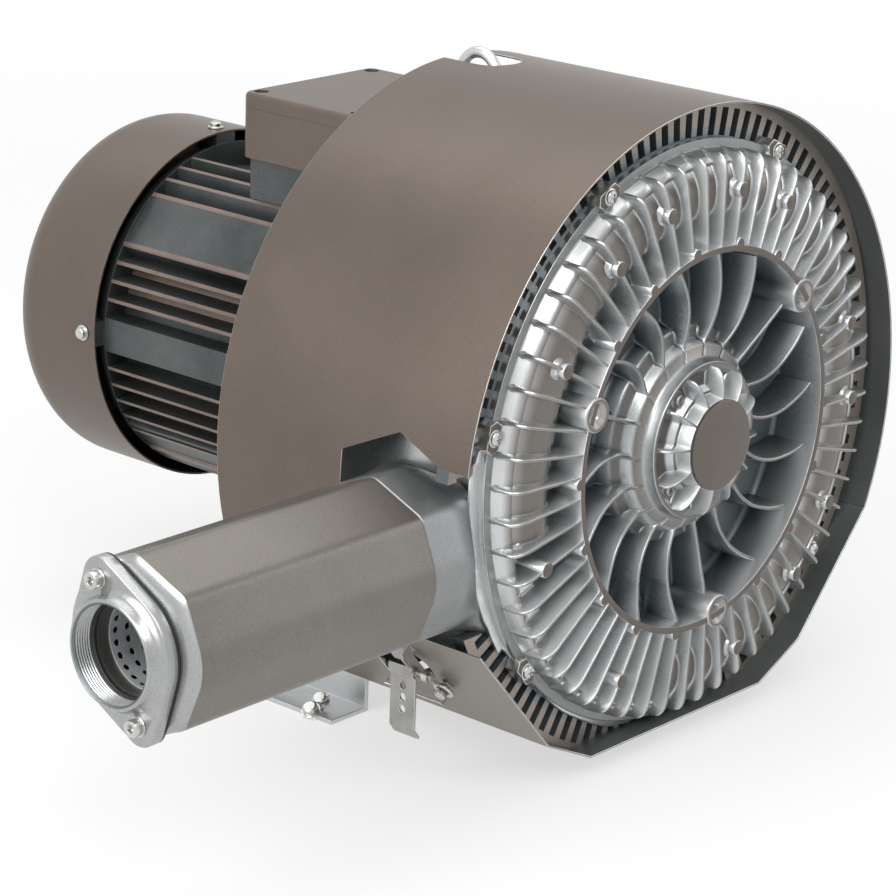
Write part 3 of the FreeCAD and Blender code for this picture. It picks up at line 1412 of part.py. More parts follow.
# Latch on the sloping panel. Its pieces are built upright on the panel's own axes:
# X up the slope, Y along the shaft, Z away from the sheet.
def latch():
    gap = d.seat_gap

    def seated(label, thing, along, down, out):
        place(thing, panel(along, down, out))
        bind_turn(thing, panel_angle)
        return node(label, thing)

    half = d.lever_width / 2
    plate = box("CatchPlate", 16, d.lever_width + 8, 1.5, (24, -half - 4, gap))
    back = []
    for side in (-1, 1):
        y = side * (half + 2.5) - 0.75
        back.append(box("Ear", 30, 1.5, 10, (0, y, 4)))
        back.append(box("EarFoot", 10, 1.5, 12, (24, y, gap)))
    pin_hole = cylinder("PinHole", 1.8 + gap, 60, (4, -30, 10))
    catch = cut("Catch", fuse("CatchWhole", [plate] + back), [pin_hole])
    seated("latch_catch", catch, d.latch_at, d.latch_slope, 0)

    side = d.latch_at - d.hook_at
    rod = cylinder("LatchPin", d.wire, side + half + 10, (4, -side - 5, 10))
    heads = [cylinder("PinHead", 3.2, 1, (4, end, 10)) for end in (half + 5, -side - 6)]
    seated("latch_pin", fuse("Pin", [rod] + heads), d.latch_at, d.latch_slope, 0)

    # the lever hangs from the pin
    arm = new_body("LeverArm")
    side_view = sketch_on(arm, "LeverOutline", "XZ_Plane", (0, 0, half))
    hang = 90 - float(panel_slope)
    corners = []
    for away, off in ((-4, -4), (4, -4), (6, -1), (d.lever_length - 8, -1), (d.lever_length, 5),
                      (d.lever_length - 1.5, 6.5), (d.lever_length - 9, 1), (5, 1), (3, 4), (-4, 4)):
        away = size(away)
        corners.append((4 - away * cosine(hang) - off * sine(hang),
                        10 + away * sine(hang) - off * cosine(hang)))
    polygon(side_view, corners)
    pad(arm, side_view, d.lever_width, "Arm", back=True)
    tools = [cylinder("LeverBore", d.wire + d.fit_gap, 60, (4, -30, 10))]
    through = Rotation(Vector(0, 1, 0), hang)
    for step in (14, 24, 34):
        centre = (4 - step * cosine(hang) - 10 * sine(hang), 0,
                  10 + step * sine(hang) - 10 * cosine(hang))
        tools.append(cylinder("LeverHole", 3.2, 20, centre, through))
    seated("latch_lever", cut("Lever", arm, tools), d.latch_at, d.latch_slope, 0)

    # the bail turns on the same pin and lies over the hook stud
    ring_z = 6
    reach = size(26)
    loop = torus("BailLoop", 7.6, d.wire, (4 - reach, -side, ring_z))
    arm_rod = new_body("BailArm")
    arm_view = sketch_on(arm_rod, "BailOutline", "XZ_Plane", (0, 0, side + 1.5))
    polygon(arm_view, [(2, 12), (11 - reach, ring_z + 1.6), (11 - reach, ring_z - 1.6), (2, 8)])
    pad(arm_rod, arm_view, 3, "Arm", back=True)
    sleeve = cylinder("BailSleeve", 4.4, 6, (4, -side - 3, 10))
    bail = cut("Bail", fuse("BailWhole", [loop, arm_rod, sleeve]),
               [cylinder("BailBore", d.wire + d.fit_gap, 60, (4, -side - 30, 10))])
    seated("latch_bail", bail, d.latch_at, d.latch_slope, 0)

    # safety wire, both ends bent over on the sheet
    wire = [cylinder("WireRun", d.wire / 2, 62, (-60, 0, 3.5)),
            cylinder("WireEnd", d.wire / 2, 4.4 - gap, (-60, 0, gap), UP),
            cylinder("WireEnd", d.wire / 2, 4.4 - gap, (-60, 62, gap), UP)]
    seated("latch_wire", fuse("Wire", wire), d.latch_at, d.latch_slope, 0)

    stud = spun("HookStud", [(0, gap), (5, gap), (5, 2), (2.6, 2.5), (2.6, 9), (5, 9.5),
                             (5, 12), (4, 13), (0, 13)])
    seated("latch_stud", stud, d.hook_at, d.latch_slope + reach - 4, 0)


front_cover()
hub_cap()
middle_casing()
rear_casing()
vent_ring()
inlet_elbow()
outlet_adapter()
shroud()
shroud_lower()
clamps()
silencer("inlet", (-d.silencer_start, station(silencer_at), d.axis_height - d.silencer_drop), LEFT)
silencer("outlet", (d.outlet_x, station(shroud_end + d.outlet_clear),
                    d.axis_height - d.outlet_drop), BACK)
shaft()
impeller("impeller_front", d.land_at + d.air_gap)
impeller("impeller_rear", second_land + d.air_gap)
bearings()
motor_flange()
motor_frame()
stator()
end_shield()
cooling_fan()
fan_cowl()
terminal_box()
eye_bolt()
base_plate()
base_screws()
latch()

doc.recompute()
bad = [thing.Name for thing in doc.Objects
       if "Invalid" in thing.State or "Error" in thing.State]
if bad:
    raise ValueError("objects that fail: %s" % ", ".join(bad))
os.makedirs("parts", exist_ok=True)
for label, thing in nodes.items():
    shape = thing.Shape
    if shape.isNull() or not shape.isValid() or not shape.Solids:
        raise ValueError("sub-part without a valid solid: " + label)
for label, thing in nodes.items():
    thing.Shape.exportStep("parts/%s.step" % label)
print("sub-parts written:", len(nodes))
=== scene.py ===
import bpy
import bmesh
import math
from mathutils import Matrix, Vector


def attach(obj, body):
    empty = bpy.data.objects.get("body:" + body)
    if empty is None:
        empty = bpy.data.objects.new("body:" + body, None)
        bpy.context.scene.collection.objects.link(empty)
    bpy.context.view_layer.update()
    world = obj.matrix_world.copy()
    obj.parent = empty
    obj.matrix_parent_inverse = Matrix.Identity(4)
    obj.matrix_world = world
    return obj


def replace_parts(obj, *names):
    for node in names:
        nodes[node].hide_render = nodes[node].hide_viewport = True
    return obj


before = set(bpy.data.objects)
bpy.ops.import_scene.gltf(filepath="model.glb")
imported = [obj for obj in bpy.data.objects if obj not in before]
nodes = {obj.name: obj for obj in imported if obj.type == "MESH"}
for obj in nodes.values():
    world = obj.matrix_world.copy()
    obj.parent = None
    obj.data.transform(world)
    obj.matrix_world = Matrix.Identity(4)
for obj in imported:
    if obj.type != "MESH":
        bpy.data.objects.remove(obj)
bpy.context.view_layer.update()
print("frame loaded:", len(nodes), "solids")

# shaft axis and the stations that the pieces share, in metres
shaftHeight = 0.262
ringY = -0.366


def station(millimetres):
    return ringY + millimetres / 1000


def addObject(name, data):
    made = bpy.data.objects.new(name, data)
    bpy.context.scene.collection.objects.link(made)
    return made


# camera and light
cameraSettings = {
    "place": (-2.000196, -1.830440, 1.055536),
    "right": (0.663499, -0.747456, 0.032845),
    "up": (0.211493, 0.229485, 0.950056),
    "back": (-0.717663, -0.623415, 0.310345),
    "lens": 131.471,
    "sensor": 36.0,
}


def makeCamera(settings):
    data = bpy.data.cameras.new("photoCamera")
    data.lens = settings["lens"]
    data.sensor_width = settings["sensor"]
    data.clip_end = 60
    camera = addObject("photoCamera", data)
    columns = Matrix((settings["right"], settings["up"], settings["back"])).transposed()
    camera.matrix_world = Matrix.Translation(settings["place"]) @ columns.to_4x4()
    bpy.context.scene.camera = camera


lightSettings = {
    "key": {"place": (-1.6, -2.5, 2.9), "aim": (0, -0.05, 0.25), "size": (2.0, 1.6), "watts": 48},
    "top": {"place": (0.3, 0.4, 3.2), "aim": (0, 0, 0.2), "size": (3.0, 3.0), "watts": 40},
    "left": {"place": (-3.1, -0.1, 1.9), "aim": (0, -0.1, 0.3), "size": (2.4, 2.4), "watts": 80},
    "right": {"place": (2.6, -2.4, 1.6), "aim": (0, -0.2, 0.3), "size": (1.4, 2.4), "watts": 10},
}


def makeLights(settings):
    for name, one in settings.items():
        data = bpy.data.lights.new(name + "Light", "AREA")
        data.shape = "RECTANGLE"
        data.size, data.size_y = one["size"]
        data.energy = one["watts"]
        lamp = addObject(name + "Light", data)
        away = Vector(one["place"]) - Vector(one["aim"])
        turn = away.to_track_quat("Z", "Y")
        lamp.matrix_world = Matrix.Translation(one["place"]) @ turn.to_matrix().to_4x4()


def colourOf(tone):
    # a number stands for a grey
    return tuple(tone) + (1,) if isinstance(tone, tuple) else (tone, tone, tone, 1)


def addNode(tree, kind, inputs=None, **settings):
    # a shader node: sockets given as inputs are linked, values are set
    node = tree.nodes.new("ShaderNode" + kind)
    for name, value in settings.items():
        setattr(node, name, value)
    for key, value in (inputs or {}).items():
        socket = node.inputs[key]
        if isinstance(value, bpy.types.NodeSocket):
            tree.links.new(value, socket)
        else:
            socket.default_value = colourOf(value) if socket.type == "RGBA" else value
    return node


def ramp(tree, value, stops):
    node = addNode(tree, "ValToRGB", {0: value})
    while len(node.color_ramp.elements) < len(stops):
        node.color_ramp.elements.new(0.5)
    for element, (position, colour) in zip(node.color_ramp.elements, stops):
        element.position = position
        element.color = colourOf(colour)
    return node.outputs[0]


def spread(tree, value, low, high, fromLow=0.3, fromHigh=0.7):
    # a value between two limits, laid out again between two others
    inputs = {"Value": value, "From Min": fromLow, "From Max": fromHigh, "To Min": low, "To Max": high}
    return addNode(tree, "MapRange", inputs).outputs[0]


def calculate(tree, operation, *values):
    return addNode(tree, "Math", dict(enumerate(values)), operation=operation).outputs[0]


def lengthOf(tree, vector):
    return addNode(tree, "VectorMath", {0: vector}, operation="LENGTH").outputs["Value"]


def rayShare(tree):
    # 1 for what the camera, metal or glass sees, 0 for what only lights the object
    path = addNode(tree, "LightPath").outputs
    both = calculate(tree, "MAXIMUM", path["Is Camera Ray"], path["Is Glossy Ray"])
    return calculate(tree, "MAXIMUM", both, path["Is Transmission Ray"])


worldSettings = {
    "strength": 0.55, "low": (0.62, 0.62, 0.63), "high": 1.0, "between": (0.35, 0.75),
}


def makeWorld(settings):
    world = bpy.data.worlds.new("studio")
    bpy.context.scene.world = world
    world.use_nodes = True
    tree = world.node_tree
    tree.nodes.clear()
    # the light is darker from below than from above
    place = addNode(tree, "TexCoord").outputs["Generated"]
    height = addNode(tree, "SeparateXYZ", {0: place}).outputs["Z"]
    share = calculate(tree, "MULTIPLY_ADD", height, 0.5, 0.5)
    low, high = settings["between"]
    tone = ramp(tree, share, [(low, settings["low"]), (high, settings["high"])])
    lit = addNode(tree, "Background", {"Color": tone, "Strength": settings["strength"]})
    seen = addNode(tree, "Background", {"Color": 1, "Strength": 1})
    mix = addNode(tree, "MixShader", {0: rayShare(tree), 1: lit.outputs[0], 2: seen.outputs[0]})
    addNode(tree, "OutputWorld", {"Surface": mix.outputs[0]})


floorSettings = {
    "half": 14, "top": -0.0002, "matt": 0.86, "glow": (0.6, 1.0), "reach": (0.8, 2.6),
}


def makeFloor(settings):
    bm = bmesh.new()
    bmesh.ops.create_grid(bm, x_segments=1, y_segments=1, size=settings["half"])
    bmesh.ops.translate(bm, verts=bm.verts, vec=(0, 0, settings["top"]))
    data = bpy.data.meshes.new("floor")
    bm.to_mesh(data)
    bm.free()
    material = bpy.data.materials.new("paleFloor")
    material.use_nodes = True
    tree = material.node_tree
    tree.nodes.clear()
    matt = addNode(tree, "BsdfDiffuse", {"Color": settings["matt"]})
    glow = addNode(tree, "Emission", {"Strength": 1})
    # the floor's own white grows away from the object, so that no horizon shows
    away = lengthOf(tree, addNode(tree, "TexCoord").outputs["Object"])
    grown = spread(tree, away, *settings["glow"], *settings["reach"])
    share = calculate(tree, "MULTIPLY", rayShare(tree), grown)
    mix = addNode(tree, "MixShader", {0: share, 1: matt.outputs[0], 2: glow.outputs[0]})
    addNode(tree, "OutputMaterial", {"Surface": mix.outputs[0]})
    data.materials.append(material)
    addObject("floor", data)


makeCamera(cameraSettings)
makeLights(lightSettings)
makeWorld(worldSettings)
makeFloor(floorSettings)
bpy.context.scene.view_settings.view_transform = "Standard"
print("camera, light and floor made")


# finishes: noise on Object coordinates, and marks that a piece carries
def noise(tree, vector, scale, detail, roughness):
    inputs = {"Vector": vector, "Scale": scale, "Detail": detail, "Roughness": roughness}
    return addNode(tree, "TexNoise", inputs).outputs["Fac"]


def mixColour(tree, factor, first, second, kind="MIX"):
    inputs = {0: factor, 6: first, 7: second}
    return addNode(tree, "Mix", inputs, data_type="RGBA", blend_type=kind).outputs[2]


def bump(tree, heights, shader):
    last = {}
    for value, strength, distance in heights:
        inputs = {"Height": value, "Strength": strength, "Distance": distance}
        last = {"Normal": addNode(tree, "Bump", {**inputs, **last}).outputs[0]}
    tree.links.new(last["Normal"], shader.inputs["Normal"])


def paintedMetal(name, s):
    material = bpy.data.materials.new(name)
    material.use_nodes = True
    tree = material.node_tree
    shader = tree.nodes["Principled BSDF"]
    place = addNode(tree, "TexCoord").outputs["Object"]
    grain = noise(tree, place, s["grain"], 2.0, 0.6)
    cloud = noise(tree, place, s["cloud"], 4.0, 0.6)
    peel = noise(tree, place, s["peel"], 2.0, 0.5)
    tone = ramp(tree, cloud, [(0.3, s["dark"]), (0.7, s["light"])])
    flake = ramp(tree, grain, [(0.3, s["fleckDark"]), (0.5, 0.5), (0.72, s["fleckLight"])])
    colour = mixColour(tree, s["fleck"], tone, flake, "OVERLAY")
    for layer, tint in s.get("layers", {}).items():
        # a layer is a mark from 0 to 1 on each corner of a piece, and the tint it turns to; on the cast
        # skin these are a painted reflection and painted shade
        mark = addNode(tree, "Attribute", attribute_name=layer).outputs["Fac"]
        colour = mixColour(tree, mark, colour, mixColour(tree, 1.0, colour, tint, "MULTIPLY"))
    if "within" in s:
        # painted shade: inside a radius about the shaft the skin has another, darker and cooler tint
        split = addNode(tree, "SeparateXYZ", {0: place}).outputs
        rise = calculate(tree, "SUBTRACT", split["Z"], shaftHeight)
        far = lengthOf(tree, addNode(tree, "CombineXYZ", {"X": split["X"], "Z": rise}).outputs[0])
        share = spread(tree, far, 1, 0, s["within"] - 0.0004, s["within"] + 0.0004)
        colour = mixColour(tree, share, colour, s["withinShadeTint"])
    tree.links.new(colour, shader.inputs["Base Color"])
    tree.links.new(spread(tree, cloud, *s["rough"]), shader.inputs["Roughness"])
    shader.inputs["Metallic"].default_value = s["metallic"]
    bump(tree, [(peel, s["peelDepth"], 0.0004), (grain, s["grainDepth"], 0.0002)], shader)
    return material


# a row for each finish: its dark and light tone, the scales of grain, cloud and peel, the dark and
# the light of its flecks and their strength, the range of roughness, metal, and the depths of peel
# and grain
finishColumns = ("dark", "light", "grain", "cloud", "peel", "fleckDark", "fleckLight", "fleck", "rough",
                 "metallic", "peelDepth", "grainDepth")
finishes = {
    # taupe metallic paint of shroud, cowl and box
    "taupePaint": ((0.114, 0.09, 0.074), (0.142, 0.114, 0.096), 1300, 5, 330, 0.36, (0.68, 0.67, 0.65),
        0.55, (0.34, 0.42), 0.62, 0.16, 0.1),
    # the folded lower sheet is lighter
    "lowerPaint": ((0.215, 0.192, 0.165), (0.26, 0.236, 0.206), 1300, 5, 330, 0.36, (0.68, 0.67, 0.65),
        0.55, (0.34, 0.42), 0.62, 0.16, 0.1),
    # the same paint laid warmer and thicker on the silencers
    "silencerPaint": ((0.152, 0.141, 0.127), (0.192, 0.179, 0.162), 1100, 7, 300, 0.36,
        (0.72, 0.71, 0.69), 0.55, (0.27, 0.36), 0.72, 0.16, 0.1),
    # sprayed aluminium over cast skin
    "castSilver": ((0.56, 0.575, 0.58), (0.64, 0.65, 0.65), 1100, 16, 260, (0.34, 0.35, 0.36), 0.72, 0.4,
        (0.26, 0.32), 0.9, 0.12, 0.08),
    # painted shade: a cool darker skin deep between the ribs, in the thread roots and on the walls of the
    # ring's slots
    "paintedShadeSkin": ((0.115, 0.133, 0.14), (0.15, 0.17, 0.178), 1000, 18, 240, (0.34, 0.35, 0.36), 0.72,
        0.42, (0.38, 0.52), 0.72, 0.3, 0.16),
    # painted shade: the floor of the channel between the ribs, laid darker than the cast skin
    "valleyPaintedShade": ((0.24, 0.262, 0.272), (0.31, 0.332, 0.342), 1000, 18, 240, (0.34, 0.35, 0.36), 0.72,
        0.42, (0.34, 0.46), 0.62, 0.16, 0.1),
    # painted reflection: dim brown on the turned front faces of pads, beads, ring, cap and clamps
    "capPaintedReflection": ((0.108, 0.092, 0.081), (0.134, 0.115, 0.103), 1300, 9, 330, 0.36, (0.7, 0.68, 0.66), 0.5,
        (0.36, 0.44), 0.55, 0.14, 0.08),
    # sprayed castings of the ports
    "portSkin": ((0.33, 0.335, 0.335), (0.4, 0.405, 0.405), 1100, 16, 260, (0.34, 0.35, 0.36), 0.72, 0.4,
        (0.24, 0.31), 0.9, 0.14, 0.08),
    # painted reflection: a darker copy of the cast skin on the front-facing flange face round the cover;
    # the elbow wears it too
    "flangeReflectionSkin": ((0.22, 0.228, 0.232), (0.29, 0.298, 0.302), 1200, 12, 330, 0.34, (0.72, 0.71, 0.7),
        0.55, (0.32, 0.42), 0.75, 0.2, 0.12),
    # painted reflection: brown on the front faces of the slotted ring's webs, and painted shade darker
    # next to the cover
    "ventReflectionSkin": ((0.26, 0.225, 0.2), (0.33, 0.29, 0.26), 1200, 30, 330, 0.34, (0.72, 0.71, 0.7), 0.55,
        (0.34, 0.44), 0.7, 0.2, 0.12),
    "motorPaint": ((0.06, 0.068, 0.069), (0.102, 0.112, 0.112), 900, 14, 200, 0.33, (0.72, 0.7, 0.68),
        0.5, (0.32, 0.46), 0.72, 0.35, 0.2),
    # reddish paint left on the tips of the fins
    "finTip": ((0.15, 0.112, 0.094), (0.205, 0.158, 0.136), 1100, 20, 260, 0.34, (0.7, 0.68, 0.66), 0.5,
        (0.34, 0.46), 0.5, 0.2, 0.12),
    # painted shade: the inner side of the sheets is laid dull and dark
    "sheetInsideShade": ((0.115, 0.13, 0.13), (0.16, 0.178, 0.176), 1200, 8, 300, 0.38, 0.64, 0.4,
        (0.42, 0.55), 0.6, 0.14, 0.1),
    # zinc plated screws, clamps and latch
    "zincPlate": ((0.46, 0.46, 0.44), (0.64, 0.64, 0.62), 1600, 60, 500, 0.4, 0.62, 0.3, (0.2, 0.34), 1.0,
        0.1, 0.08),
    # duller zinc of the latch lever
    "leverZinc": ((0.3, 0.295, 0.28), (0.42, 0.415, 0.395), 1600, 60, 500, 0.4, 0.62, 0.3, (0.24, 0.36),
        0.95, 0.1, 0.08),
    # bright sheared sheet edge
    "sheetEdge": ((0.5, 0.5, 0.48), (0.72, 0.72, 0.7), 1800, 120, 700, 0.4, 0.62, 0.3, (0.25, 0.4), 1.0,
        0.12, 0.1),
    "groundSteel": ((0.44, 0.44, 0.45), (0.58, 0.58, 0.59), 2000, 40, 900, 0.42, 0.6, 0.25, (0.16, 0.26),
        1.0, 0.05, 0.05),
    # pierced sheet of the inner tubes
    "tubeSheet": ((0.4, 0.42, 0.43), (0.56, 0.58, 0.59), 1600, 40, 700, 0.4, 0.62, 0.3, (0.3, 0.42), 0.15,
        0.05, 0.05),
    "coreIron": ((0.1, 0.1, 0.105), (0.17, 0.17, 0.175), 1500, 30, 400, 0.38, 0.62, 0.4, (0.4, 0.55), 0.9,
        0.2, 0.2),
    "windingCopper": ((0.36, 0.13, 0.05), (0.62, 0.27, 0.12), 700, 90, 420, 0.32, 0.7, 0.5, (0.25, 0.4),
        0.9, 0.5, 0.2),
    "blackRubber": (0.012, 0.024, 1200, 50, 500, 0.4, 0.6, 0.3, (0.45, 0.6), 0.0, 0.2, 0.1),
    "fanPlastic": ((0.022, 0.022, 0.023), (0.034, 0.034, 0.035), 1100, 25, 500, 0.4, 0.6, 0.3,
        (0.38, 0.48), 0.0, 0.15, 0.1),
}
finishExtras = {
    # the cast skin turns brown where it faces the front, a painted reflection, and cool and dark where it
    # lies deep, painted shade
    "castSilver": {"layers": {"facing": (0.3, 0.27, 0.245), "depth": (0.26, 0.3, 0.325)}},
    "ventReflectionSkin": {"within": 0.2462, "withinShadeTint": (0.22, 0.24, 0.25)},
}
finish = {}
for name, row in finishes.items():
    values = dict(zip(finishColumns, row), **finishExtras.get(name, {}))
    finish[name] = paintedMetal(name, values)
print("finishes made:", len(finish))


# mesh helpers: stations, radii and distances in millimetres go in, metres come out
toFront = Vector((0, -1, 0))
shaftLine = Vector((0, 0, shaftHeight))


def onShaft(along, radius, angle):
    turn = math.radians(angle)
    across = radius * math.cos(turn) / 1000
    return Vector((across, station(along), shaftHeight + radius * math.sin(turn) / 1000))


def stationRadius(place):
    return (place.y - ringY) * 1000, math.hypot(place.x, place.z - shaftHeight) * 1000


def outAndRound(angle):
    # the ways out from the shaft and round it
    turn = math.radians(angle)
    return Vector((math.cos(turn), 0, math.sin(turn))), Vector((-math.sin(turn), 0, math.cos(turn)))


def turned(x, y, angle):
    turn = math.radians(angle)
    return (x * math.cos(turn) - y * math.sin(turn), x * math.sin(turn) + y * math.cos(turn))


def curveOf(points, divisions=4):
    # a smooth row of points through the given ones
    row = []
    for i in range(len(points) - 1):
        before = Vector(points[max(i - 1, 0)])
        a = Vector(points[i])
        b = Vector(points[i + 1])
        after = Vector(points[min(i + 2, len(points) - 1)])
        for k in range(divisions):
            t = k / divisions
            row.append(0.5 * ((2 * a) + (b - before) * t + (2 * before - 5 * a + 4 * b - after) * t * t
                              + (3 * a - before - 3 * b + after) * t ** 3))
    row.append(Vector(points[-1]))
    return [tuple(p) for p in row]


def rounded(corners, closed=True):
    # corners are (across, up, radius, steps): each is rounded with an arc
    row = []
    count = len(corners)
    for i, corner in enumerate(corners):
        here = Vector(corner[:2])
        radius = corner[2] if len(corner) > 2 else 0
        steps = corner[3] if len(corner) > 3 else 4
        if radius == 0 or (not closed and i in (0, count - 1)):
            row.append(tuple(here))
            continue
        toBack = (Vector(corners[i - 1][:2]) - here).normalized()
        toNext = (Vector(corners[(i + 1) % count][:2]) - here).normalized()
        half = toBack.angle(toNext) / 2
        reach = radius / math.tan(half)
        centre = here + (toBack + toNext).normalized() * (radius / math.sin(half))
        first = here + toBack * reach - centre
        last = here + toNext * reach - centre
        sweep = math.degrees(first.angle_signed(last))
        for k in range(steps + 1):
            x, y = turned(first.x, first.y, -sweep * k / steps)
            row.append((centre.x + x, centre.y + y))
    return row


def spinRound(bm, profile, steps, start=90.0, sweep=360.0):
    # profile: closed row of (station, radius); a part turn keeps its two end faces
    verts = [bm.verts.new(onShaft(along, radius, start)) for along, radius in profile]
    whole = abs(sweep - 360) < 0.01
    geom = [bm.edges.new((verts[i - 1], verts[i])) for i in range(len(verts))]
    if not whole:
        geom = geom + [bm.faces.new(verts)]
    bmesh.ops.spin(bm, geom=verts + geom, cent=shaftLine, axis=toFront, angle=math.radians(sweep),
                   steps=steps, use_merge=whole, use_duplicate=False)


def spinAbout(bm, centre, axis, profile, steps=24, closed=False):
    # profile: row of (radius, height) along the axis, in millimetres
    axis = Vector(axis).normalized()
    side = axis.orthogonal().normalized()
    centre = Vector(centre)
    verts = [bm.verts.new(centre + side * (r / 1000) + axis * (h / 1000)) for r, h in profile]
    edges = [bm.edges.new((verts[i], verts[i + 1])) for i in range(len(verts) - 1)]
    if closed:
        edges.append(bm.edges.new((verts[-1], verts[0])))
    bmesh.ops.spin(bm, geom=verts + edges, cent=centre, axis=axis, angle=2 * math.pi,
                   steps=steps, use_merge=True, use_duplicate=False)


def loft(bm, rings, caps=True, joined=False):
    # rings of the same number of points, joined one after another with four sided faces
    loops = [[bm.verts.new(point) for point in ring] for ring in rings]
    pairs = list(zip(loops, loops[1:]))
    if joined:
        pairs.append((loops[-1], loops[0]))
    for first, second in pairs:
        for i in range(len(first)):
            bm.faces.new((first[i - 1], first[i], second[i], second[i - 1]))
    if caps:
        for loop in (loops[0], loops[-1]):
            bm.faces.new(loop)


def finishPiece(bm, name, materials, smooth, body="housing", clean=True):
    # smooth is the greatest angle, in degrees, that an edge is shaded over
    if clean:
        bmesh.ops.remove_doubles(bm, verts=bm.verts, dist=1e-6)
        bmesh.ops.recalc_face_normals(bm, faces=bm.faces)
    limit = math.radians(smooth)
    for edge in bm.edges:
        edge.smooth = len(edge.link_faces) == 2 and edge.calc_face_angle(0) < limit
    for face in bm.faces:
        face.smooth = True
    data = bpy.data.meshes.new(name)
    bm.to_mesh(data)
    bm.free()
    for material in materials:
        data.materials.append(finish[material])
    piece = addObject(name, data)
    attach(piece, body)
    return piece


def paintFaces(piece, index, test):
    # the faces that the test picks get another of the piece's finishes
    for face in piece.data.polygons:
        if test(face):
            face.material_index = index


def roundEdges(piece, width):
    change = piece.modifiers.new("roundEdges", "BEVEL")
    change.width = width / 1000
    change.segments = 2
    change.limit_method = "ANGLE"
    change.angle_limit = math.radians(40)
    change.use_clamp_overlap = True
    even = piece.modifiers.new("evenShade", "WEIGHTED_NORMAL")
    even.keep_sharp = True
    even.weight = 80


def dress(node, materials, body, width):
    # a clean copy of a solid's mesh, with rounded edges and smooth round faces
    bm = bmesh.new()
    bm.from_mesh(nodes[node].data)
    bmesh.ops.remove_doubles(bm, verts=bm.verts, dist=2e-6)
    bmesh.ops.dissolve_limit(bm, angle_limit=math.radians(1.2), verts=bm.verts, edges=bm.edges)
    piece = finishPiece(bm, node + "Dressed", materials, 38, body, clean=False)
    if width:
        roundEdges(piece, width)
    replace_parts(piece, node)
    return piece


def polarRing(outline, count, lift, grow=0.0):
    # the outline seen from its middle at equal angles
    ring = []
    for k in range(count):
        turn = 2 * math.pi * (k + 0.5) / count
        way = Vector((math.cos(turn), math.sin(turn)))
        best = 0
        for a, b in zip(outline, outline[1:] + outline[:1]):
            a = Vector(a)
            edge = Vector(b) - a
            cross = way.x * edge.y - way.y * edge.x
            if abs(cross) < 1e-9:
                continue
            far = (a.x * edge.y - a.y * edge.x) / cross
            part = (a.x * way.y - a.y * way.x) / cross
            if far > 0 and -1e-6 <= part <= 1 + 1e-6:
                best = max(best, far)
        best += grow
        ring.append(Vector((way.x * best, way.y * best, lift)))
    return ring


def disc(radius, count=144):
    return [(radius * math.cos(2 * math.pi * k / count), radius * math.sin(2 * math.pi * k / count))
            for k in range(count)]


def ringsOf(rows, count, base=0.0, sides=144):
    # rows are (outline or radius, lift above the base) and perhaps how far the outline grows
    rings = []
    for shape, lift, *grow in rows:
        outline = disc(shape, sides) if isinstance(shape, (int, float)) else shape
        rings.append(polarRing(outline, count, base + lift, *grow))
    return rings


def bridgeRings(bm, rings, joined=True):
    # rings in millimetres: the last joins the first, or both ends are closed
    loft(bm, [[point / 1000 for point in ring] for ring in rings], not joined, joined)


def standRings(bm, rings, centre, axis):
    # closed rings stood along an axis on a point in metres
    turn = Vector(axis).to_track_quat("Z", "Y").to_matrix().to_4x4()
    before = set(bm.verts)
    bridgeRings(bm, rings, joined=False)
    fresh = [vert for vert in bm.verts if vert not in before]
    bmesh.ops.transform(bm, matrix=Matrix.Translation(centre) @ turn, verts=fresh)


def socketScrew(bm, centre, axis, radius, height, socket, shank=0.0):
    # round head with a six sided socket, in millimetres about a point in metres
    hexagon = disc(socket, 6)
    rows = [(0.4, 0.0), (radius, 0.0), (radius, height - 1.0), (radius - 0.3, height - 0.35),
            (radius - 1.0, height), (socket + 0.7, height), (hexagon, height - 0.5),
            (hexagon, height * 0.45), (0.4, height * 0.38)]
    standRings(bm, ringsOf(rows, 36), centre, axis)
    if shank:
        spinAbout(bm, centre, axis, [(0, -shank), (4.0, -shank), (4.0, 0.2)], 16)


# front cover: a cast dish with a ring, the channel's bulge, and ribs; deep and pads are numbers of ribs,
# skins the (radii, stations) of faces with painted shade or a painted reflection
cover = {
    "steps": 168, "ribs": 56, "firstRib": 17.4, "ribTop": 1.25, "ribFoot": 2.3, "ribFlare": 4.2,
    "spirals": 18, "petals": 12, "stripper": (193.0, 263.0), "deep": (28, 38),
    "pads": (0, 7, 10, 14, 17, 21, 28, 35, 42, 46, 49, 53), "bosses": (40, 160, 280),
    "clamps": (117.5, 64.7, 168.4, -140.7, -37.1),
    "skins": ((93, 151.2, 30, 60), (153.4, 158.2, -60, 0.9), (231.4, 238, 28, 28.9), (159, 220, 25.8, 60)),
    "spiralTurn": 5.4, "spiralTop": 1.45, "petalTurn": 25.4, "petalTop": 0.95,
    "capScrews": (40, 130, 220, 310), "domeAt": (17, 215, 190.6), "bossRadius": 153,
    "postRadius": 159.4, "padRadius": 202, "channelFloors": (9.8, 29),
}

# lines of the cover as (station, radius): the bulge, the deep floor and the dish
bulgeLine = curveOf([(26.5, 171.5), (23.5, 175), (19, 178.6), (14.6, 182.4), (11.6, 187), (10.2, 192),
                     (9.8, 198.5), (10.2, 205), (11.8, 211.2), (14.8, 217.2), (19.8, 223.8),
                     (25.2, 229.4), (28.6, 231.6)])
floorLine = [(31, 160.5), (31.5, 166), (29.5, 172), (29, 212), (27.5, 215.5), (17.4, 219.6), (15.6, 221.6),
             (16, 223.6), (21, 227.4), (28.6, 231.4)]
dishLine = [(12.8, 65.5), (15, 67.5), (17, 74), (19, 76.5), (25, 78), (27, 80), (28.4, 87), (31, 89.6),
            (41, 91), (44, 93.5), (44, 151)]


def alongLine(line, radius):
    # station of a surface line at a radius
    for (a, ra), (b, rb) in zip(line, line[1:]):
        if min(ra, rb) <= radius <= max(ra, rb) and ra != rb:
            return a + (b - a) * (radius - ra) / (rb - ra)
    return line[0][0] if radius < line[0][1] else line[-1][0]


